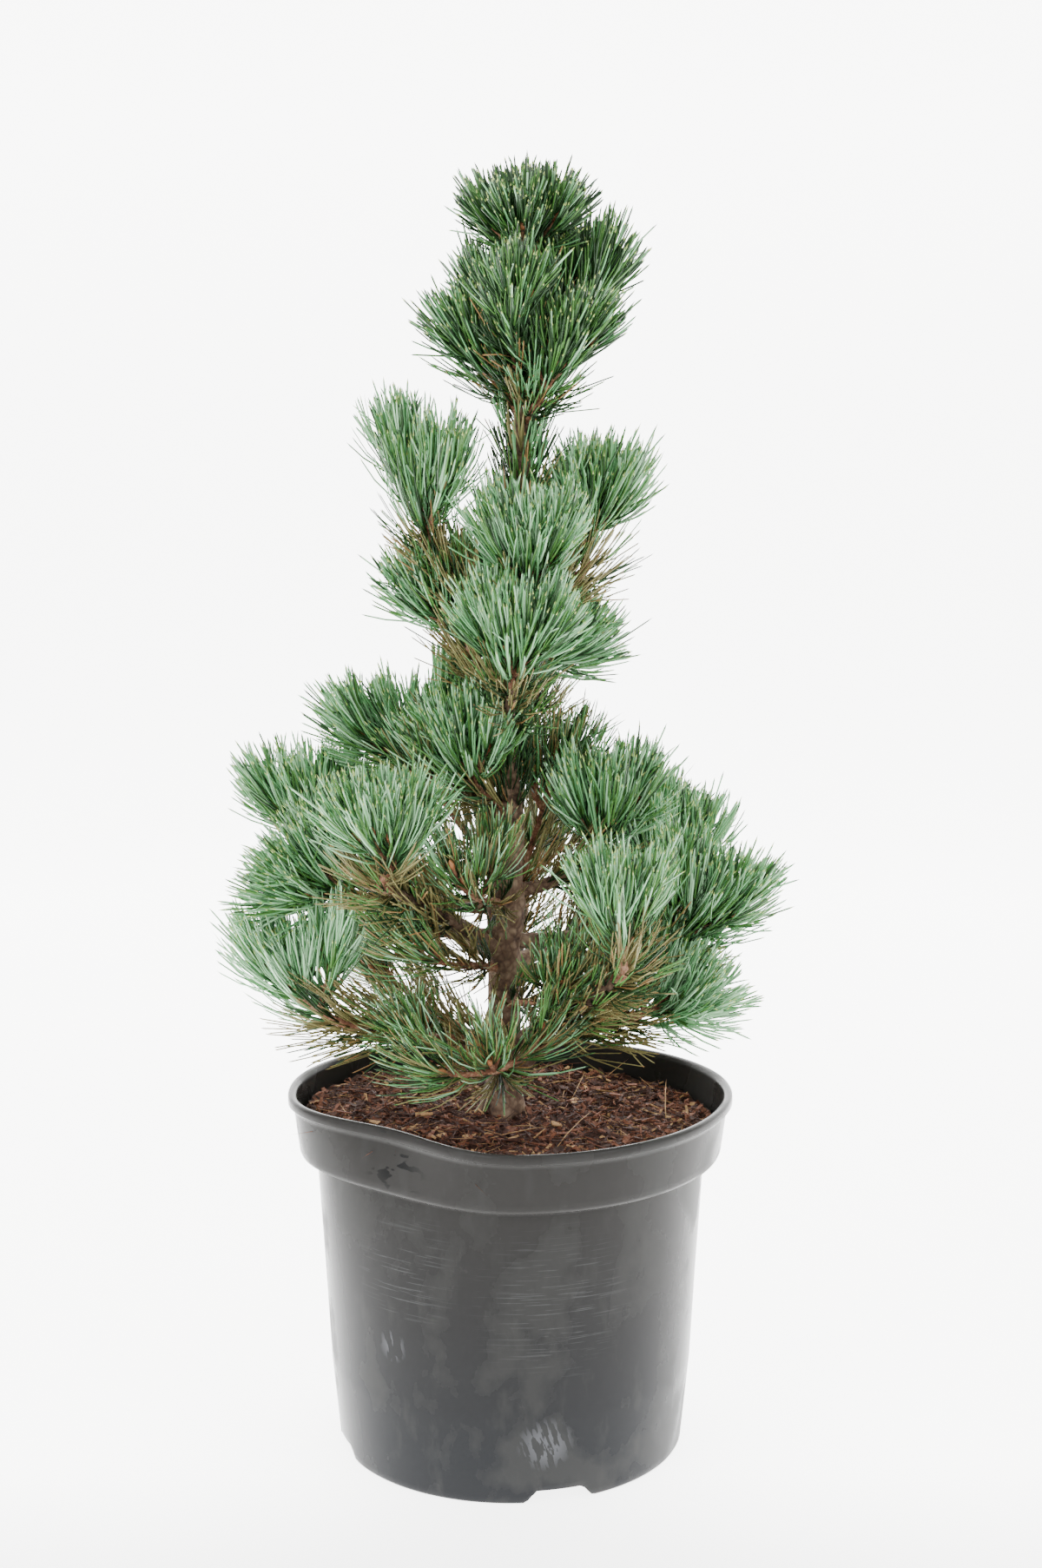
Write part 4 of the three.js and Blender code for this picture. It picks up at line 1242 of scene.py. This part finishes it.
    def build(self, shoots: list[Shoot], shape: Shape, seed: int) -> None:
        """Adds the needles of some shoots, living and old, each face with its hue's finish.

        Args:
            shoots: The shoots that bear them.
            shape: The mesh that they are added to.
            seed: Which random numbers are used.
        """
        random = np.random.default_rng(seed)
        for shoot in shoots:
            strands, old = self.grow(shoot, random)
            if not len(old):
                continue
            outer, inner, tip = self.dealt(shoot.mass.tone, old, random)
            slim = self.shade_slim if shoot.mass.tone is Tone.OLD else 1.0
            for kind, blade, width in ((~old, self.living, slim), (old, self.dead, 1.0)):
                if kind.any():
                    points, faces = strands.chosen(kind).mesh(blade, width)
                    stretches = range(len(blade.rings) - 1)
                    finish = [np.array(SHADED)[side[kind]] if r == 0 else side[kind]
                              for side in (outer, inner, inner) for r in stretches]
                    shape.add(points, faces, [*finish, *[tip[kind]] * 3, inner[kind]])


@dataclass
class Pot:
    """The nursery pot: its profile, the dents in its wall and the notches in its foot."""

    height: float = 214
    wall: float = 1.9
    foot_radius: float = 99.4
    foot_width: float = 3
    floor_radius: float = 60
    channel_height: float = 9
    body: tuple[Pair, ...] = ((101.4, 2), (106.2, 52), (109, 106), (113.5, 177))
    collar_bottom: float = 178
    collar_radius: float = 122
    collar_top_radius: float = 127
    fill_level: float = 197
    lip_radius: float = 130
    lip_depth: float = 6
    notches: int = 4
    notch_bearing: float = 286
    notch_foot_width: float = 41
    notch_top_width: float = 27
    notch_height: float = 8
    dent_from: float = 90
    dents: tuple[tuple[float, float, float, float], ...] = ((232, 23, 42, 0), (88, 20, 105, 3.5))
    columns: int = 252
    step: float = 3.0

    def dented(self, points: Array) -> Array:
        """Draws points in, by each dent's depth times a squared cosine across it, fading downwards.

        Args:
            points: Places on the round pot.

        Returns:
            The same places on the dented one.
        """
        bearing = np.degrees(np.arctan2(points[:, 1], points[:, 0]))
        share = np.maximum(0, (points[:, 2] - self.dent_from) / (self.height - self.dent_from)) ** 2
        inward, lower = np.zeros(len(points)), np.zeros(len(points))
        for middle, depth, half_width, drop in self.dents:
            away = np.abs((bearing - middle + 540) % 360 - 180)
            across = np.where(away < half_width, np.cos(away / half_width * np.pi / 2) ** 2, 0)
            inward += depth * share * across
            lower += drop * share * across
        scale = (1 - inward / self.lip_radius)[:, None]
        return np.concatenate([points[:, :2] * scale, points[:, 2:] - lower[:, None]], 1)

    def notched(self, points: Array) -> Array:
        """Lifts the foot's ring to the top of each notch, whose sides slope in as they rise.

        Args:
            points: Places on the plain pot.

        Returns:
            The same places on the notched one.
        """
        radius = np.hypot(points[:, 0], points[:, 1])
        bearing = np.degrees(np.arctan2(points[:, 1], points[:, 0])) - self.notch_bearing
        turn = 360 / self.notches
        across = radius * np.abs(np.radians((bearing + turn / 2) % turn - turn / 2))
        slope = (self.notch_foot_width - self.notch_top_width) / 2
        lift = self.notch_height * np.clip((self.notch_foot_width / 2 - across) / slope, 0, 1)
        foot = radius > self.foot_radius - self.foot_width
        height = np.where(foot, np.maximum(points[:, 2], lift), points[:, 2])
        return np.concatenate([points[:, :2], height[:, None]], 1)

    def profile(self) -> list[Pair]:
        """The outline from the underside's middle, up the outside and down the inside.

        Small steps beside the named sizes round its corners.

        Returns:
            Radius and height of each corner.
        """
        foot, floor, high = self.foot_radius, self.floor_radius, self.channel_height
        collar, bottom, upper = self.collar_radius, self.collar_bottom, self.collar_top_radius
        lip, top, low = self.lip_radius, self.height, self.height - self.lip_depth
        wall = self.wall
        ledge, inner = bottom + wall, collar - wall
        return [
            (0.5, 0), (floor, 0), (floor + 2.5, high), (foot - 0.4, high), (foot - 2.2, 0),
            (foot, 0), (foot + 1.2, 0.6), *self.body, (collar - 1, bottom),
            (collar + 0.6, bottom + 0.9),
            (collar + 1.5, bottom + 3), (upper, low), (lip - 0.8, low + 0.3), (lip, low + 1.2),
            (lip, top - 1.4), (lip - 0.5, top - 0.4), (lip - 1.5, top), (lip - 3.2, top - 0.1),
            (upper - wall, top - 1), (inner + 3.2, self.fill_level), (inner + 1.5, ledge + 1.5),
            (inner, ledge), *[(radius - wall, height) for radius, height in self.body[:0:-1]],
            (foot, high + wall), (floor + 1.5, high + wall), (floor - 1, wall), (0.5, wall),
        ]

    def build(self, shape: Shape) -> None:
        """Turns the profile round the axis, with extra rings on long stretches, and dents it.

        Args:
            shape: The mesh that it is added to.
        """
        given = np.array(self.profile(), float)
        counts = np.maximum(1, (np.hypot(*np.diff(given, axis=0).T) / self.step).astype(int))
        pieces = [np.linspace(a, b, n, endpoint=False) for a, b, n in zip(given, given[1:], counts)]
        line = np.vstack([*pieces, given[-1:]])
        points = lathe(line[:, 0], line[:, 1], self.columns).reshape(-1, 3)
        points = self.notched(self.dented(points))
        shape.add(np.vstack([points, [[0, 0, 0], [0, 0, self.wall]]]),
                  closed_faces(len(line), self.columns))


@dataclass(frozen=True)
class Lot:
    """A lot of fibres or needles that lie about: how many, how long, how wide, and its seed."""

    count: int
    length: Pair
    radius: float
    seed: int


@dataclass
class Compost:
    """The bark compost: a rough fill, chips and fibres on it, and fallen needles."""

    pot: Pot
    level: float = 197
    tilt: float = 3.5
    relief: float = 1.4
    lumps: tuple[tuple[float, float, int], ...] = ((2.1, 9.0, 71), (1.2, 3.2, 72))
    bottom: float = 140
    taper: float = 3
    middle: float = 0.6
    columns: int = 240
    rings: int = 90
    edge: float = 117.5
    hollow: float = 0.012
    chips: int = 4200
    chip_seed: int = 41
    chip_least: Triple = (2.0, 0.8, 0.3)
    chip_most: Triple = (11.0, 3.4, 1.2)
    chip_end: float = 0.55
    chip_climb: float = 0.32
    chip_roll: float = 0.35
    chip_pile: float = 2.2
    chip_shares: Triple = (0.52, 0.4, 0.08)
    fibres: Lot = Lot(2400, (6, 22), 0.25, 42)
    fallen: Lot = Lot(260, (28, 52), 0.4, 43)
    strand_climb: float = 0.12
    strand_turn: float = 1.6
    strand_gap: float = 8
    strand_bow: float = 0.28
    strand_lift: float = 0.25
    strand_pile: float = 1.2
    strand_shares: Triple = (0.45, 0.35, 0.2)
    strand_rings: tuple[float, ...] = (0.0, 0.35, 0.7)
    strand_taper: tuple[float, ...] = (0.7, 1.0, 0.8)

    def surface(self, points: Array) -> Array:
        """The source's level, tilt and three crossing waves, with lumps of two sizes on them.

        Args:
            points: Places at height 0.

        Returns:
            The surface's height at each.
        """
        x, y = points[..., 0], points[..., 1]
        waves = np.sin(x / 11 + y / 17) + np.sin(y / 9 - x / 23) + np.sin((x + y) / 6.5)
        height = self.level - self.tilt * x / self.pot.collar_radius + self.relief * waves / 2
        lumps = sum(size * grain(points.reshape(-1, 3), wide, seed)
                    for size, wide, seed in self.lumps)
        return height + lumps.reshape(x.shape)

    def build(self, shape: Shape) -> None:
        """A disc of rings and columns on a skirt that goes down inside the wall.

        Args:
            shape: The mesh that it is added to.
        """
        pot, gap = self.pot, self.pot.wall + CLEARANCE
        outer, inner = pot.collar_radius - gap, pot.body[-1][0] - gap
        skirt = np.array([(inner - self.taper, self.bottom), (inner, pot.body[-1][1]),
                          (outer, pot.collar_bottom + gap)])
        top = lathe(np.linspace(outer, self.middle, self.rings), np.zeros(self.rings), self.columns)
        top[..., 2] = self.surface(top)
        points = pot.dented(np.concatenate([lathe(*skirt.T, self.columns), top]).reshape(-1, 3))
        centre = self.surface(np.zeros((1, 3)))[0]
        shape.add(np.vstack([points, [[0, 0, self.bottom], [0, 0, centre]]]),
                  closed_faces(len(skirt) + self.rings, self.columns))

    def scatter(self, count: int, random: Random, pile: float) -> Array:
        """Places spread evenly over the surface, a little above it, inside the dented wall.

        Args:
            count: How many.
            random: Where their chance comes from.
            pile: How far above the surface the highest lies.

        Returns:
            The places.
        """
        radius = self.edge * np.sqrt(random.uniform(self.hollow, 1, count))
        turn = random.uniform(0, 2 * np.pi, count)
        places = np.stack([radius * np.cos(turn), radius * np.sin(turn), np.zeros(count)], -1)
        places[:, 2] = self.surface(places) + pile * random.uniform(0, 1, count)
        return self.pot.dented(places)

    def build_chips(self, shape: Shape) -> None:
        """Splinters of bark: boxes some 5 mm long, narrower at one end, each turned at random.

        Args:
            shape: The mesh that they are added to.
        """
        random = np.random.default_rng(self.chip_seed)
        place = self.scatter(self.chips, random, self.chip_pile)
        size = random.uniform(self.chip_least, self.chip_most, (self.chips, 3)) / 2
        turn = random.uniform(0, 2 * np.pi, self.chips)
        level = np.stack([np.cos(turn), np.sin(turn), np.zeros(self.chips)], -1)
        along = turned(level, UP, random.normal(0, self.chip_climb, self.chips))
        side = unit(np.cross(UP + self.chip_roll * random.normal(size=(self.chips, 3)), along))
        axes = np.stack([along, side, np.cross(along, side)], 1)
        corner = np.array([[i & 1, i >> 1 & 1, i >> 2 & 1] for i in range(8)]) * 2 - 1
        narrow = np.where((corner[:, :1] > 0) & (np.arange(3) > 0), self.chip_end, 1.0)
        points = place[:, None] + (size[:, None] * corner * narrow) @ axes
        base = (np.arange(self.chips) * 8)[:, None]
        sides = ((0, 2, 3, 1), (4, 5, 7, 6), (0, 1, 5, 4), (2, 6, 7, 3), (0, 4, 6, 2), (1, 3, 7, 5))
        tone = random.choice(3, self.chips, p=self.chip_shares)
        shape.add(points, [base + np.array(s) for s in sides], [tone] * 6)

    def build_strands(self, shape: Shape, lot: Lot) -> None:
        """Fibres or fallen needles, lying almost level in all directions.

        Near the wall they turn inwards, so that they end inside the pot.

        Args:
            shape: The mesh that they are added to.
            lot: How many there are, and their sizes.
        """
        random, count = np.random.default_rng(lot.seed), lot.count
        root = self.scatter(count, random, self.strand_pile)
        climb = np.array([[1], [1], [self.strand_climb]])
        way = unit((random.normal(size=(3, count)) * climb).T)
        size = random.uniform(*lot.length, count)
        out = np.hypot(root[:, 0], root[:, 1])
        close = np.clip((out + size - self.edge + self.strand_gap) / size, 0, 1)[:, None]
        way = unit(way - self.strand_turn * close * root * np.array([1, 1, 0]) / out[:, None])
        bow = self.strand_bow * random.normal(size=(count, 3)) * np.array([1, 1, self.strand_lift])
        strands = Strands(root, way, bow, np.tile(UP, (count, 1)), size)
        points, faces = strands.mesh(Blade(lot.radius, self.strand_rings, self.strand_taper))
        shape.add(points, faces, [random.choice(3, count, p=self.strand_shares)] * len(faces))


@dataclass
class Studio:
    """The plain pale room: floor and backdrop in one sheet, soft lights, and the camera."""

    camera_place: Triple = (0.0061, -1.4654, 0.6661)
    pitch_down: float = 10.56
    lens: float = 59.83
    sensor: float = 36.0
    clip_end: float = 50.0
    half_width: float = 5000
    front: float = -4000
    wall: float = 2300
    wall_top: float = 5000
    bend: float = 900
    bend_steps: int = 24
    world_strength: float = 1.05
    aim: Triple = (0.0, 0.0, 0.35)
    lights: tuple[tuple[Triple, float, float], ...] = (
        ((-1.4, -1.5, 1.1), 1.2, 34.0), ((1.6, -1.2, 1.0), 1.2, 21.0), ((0.0, 0.1, 2.4), 1.6, 25.0))

    def build_floor(self) -> bpy.types.Object:
        """A sheet that lies level, then curves up behind: depth and height along a quarter turn.

        Returns:
            The sheet.
        """
        turn = np.linspace(0, np.pi / 2, self.bend_steps)
        curve = np.stack([self.wall - self.bend + self.bend * np.sin(turn),
                          self.bend - self.bend * np.cos(turn)], -1)
        line = np.vstack([[self.front, 0], curve, [self.wall, self.wall_top]])
        points = np.repeat(np.insert(line, 0, self.half_width, 1)[:, None], 2, 1)
        points[:, 0, 0] *= -1
        first = (2 * np.arange(len(line) - 1))[:, None]
        shape = Shape()
        shape.add(points, [first + np.array([0, 1, 3, 2])])
        floor = shape.make("studio_floor", [PaintedBackdrop("painted_backdrop", 0.7).make()])
        return floor

    def build_lights(self) -> None:
        """Wide soft lamps that face the plant, and an even pale world."""
        world = bpy.context.scene.world or bpy.data.worlds.new("studio_world")
        bpy.context.scene.world = world
        world.use_nodes = True
        background = world.node_tree.nodes["Background"]
        background.inputs["Color"].default_value = (1.0, 1.0, 1.0, 1.0)
        background.inputs["Strength"].default_value = self.world_strength
        for index, (place, size, power) in enumerate(self.lights):
            lamp = bpy.data.lights.new(f"softbox_{index}", "AREA")
            lamp.shape, lamp.size, lamp.energy = "DISK", size, power
            holder = bpy.data.objects.new(lamp.name, lamp)
            bpy.context.scene.collection.objects.link(holder)
            holder.location = place
            holder.rotation_mode = "QUATERNION"
            holder.rotation_quaternion = (Vector(self.aim) - Vector(place)).to_track_quat("-Z", "Y")

    def build_camera(self) -> None:
        """The camera at the photo's place, looking along +Y and a little down."""
        data = bpy.data.cameras.new("camera")
        data.lens, data.sensor_width, data.sensor_fit = self.lens, self.sensor, "AUTO"
        data.clip_end = self.clip_end
        camera = bpy.data.objects.new("camera", data)
        camera.location = self.camera_place
        camera.rotation_euler = (np.radians(90 - self.pitch_down), 0, 0)
        bpy.context.scene.collection.objects.link(camera)
        bpy.context.scene.camera = camera


def place_piece(shape: Shape, name: str, materials: list[Material],
                nodes: list[str], smooth: bool = True) -> None:
    """Makes a piece, lets it ride with the plant, and lets it stand for its solids.

    Args:
        shape: Its mesh.
        name: Its name.
        materials: Its finishes, in order.
        nodes: The solids that it replaces.
        smooth: Whether its faces are shaded as one surface.
    """
    piece = shape.make(name, materials, smooth)
    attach(piece, "root")
    if nodes:
        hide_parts(*nodes)
    LOG.info("%s: %d triangles", name, shape.triangles())


def main() -> None:
    """Builds the studio, the wood, the shoots, the needles, the compost and the pot."""
    logging.basicConfig(level=logging.INFO, format="%(name)s %(message)s")
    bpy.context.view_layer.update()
    studio = Studio()
    studio.build_camera()
    studio.build_floor()
    studio.build_lights()

    trunk = Trunk()
    limbs = Boughs(trunk)
    growth = Shoots(limbs)
    shoots = growth.grow()
    bark = ScalyBark("weathered_pine_bark", 0.92).make()
    twig_bark = ScalyBark("young_pine_bark", 0.85, "#4a2c1c", "#80543c", "#a8846b", 2.2).make()
    scales = ScalyBark("resinous_bud_scales", 0.6, "#5a2f1a", "#8a5230", "#b07a4c", 1.6).make()
    stem, branches, twigs, buds = Shape(), Shape(), Shape(), Shape()
    trunk.build(stem)
    limbs.build(branches)
    growth.build(shoots, twigs, buds)
    place_piece(stem, "bark_trunk", [bark], ["trunk"])
    place_piece(branches, "bark_boughs", [bark], [row.name for row in BOUGHS])
    place_piece(twigs, "twigs", [twig_bark], [])
    place_piece(buds, "buds", [scales], [])

    palette = [WaxyNeedle(*row).make() for row in (
        ("needle_pale_wax", 0.5, "#a0cda2"), ("needle_blue_green", 0.5, "#69a36c"),
        ("needle_green", 0.42, "#4b7a37"), ("needle_deep_green", 0.42, "#21401d"),
        ("needle_yellow_tip", 0.5, "#b2c873"), ("needle_olive", 0.55, "#7f784a"),
        ("needle_brown", 0.6, "#957245"))]
    bearing = shoots + growth.old_wood()
    needles = Needles()
    for index, region in enumerate(REGIONS):
        part, mine = Shape(), [shoot for shoot in bearing if shoot.mass.region == region]
        needles.build(mine, part, SEED + index)
        place_piece(part, region, palette, sorted({shoot.mass.name for shoot in mine}))

    pot = Pot()
    compost = Compost(pot)
    shell, fill, chips, fibres = Shape(), Shape(), Shape(), Shape()
    compost.build(fill)
    compost.build_chips(chips)
    compost.build_strands(fibres, compost.fibres)
    compost.build_strands(fibres, compost.fallen)
    pot.build(shell)
    litter = [Litter(*row, 2.0).make() for row in (
        ("bark_chip_dark", 0.9, "#29150c", "#4d2a1b"), ("bark_chip_red", 0.9, "#522c1c", "#84533a"),
        ("wood_fibre", 0.9, "#8c6844", "#c49d70"))]
    plastic = SatinPolypropylene("moulded_polypropylene", 0.25).make()
    place_piece(fill, "compost", [Litter("damp_peat", 0.95).make()], ["soil"])
    place_piece(chips, "compost_chips", litter, [], smooth=False)
    place_piece(fibres, "compost_fibres", litter, [])
    place_piece(shell, "nursery_pot", [plastic], ["pot"])

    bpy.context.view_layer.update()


if __name__ == "__main__":
    main()
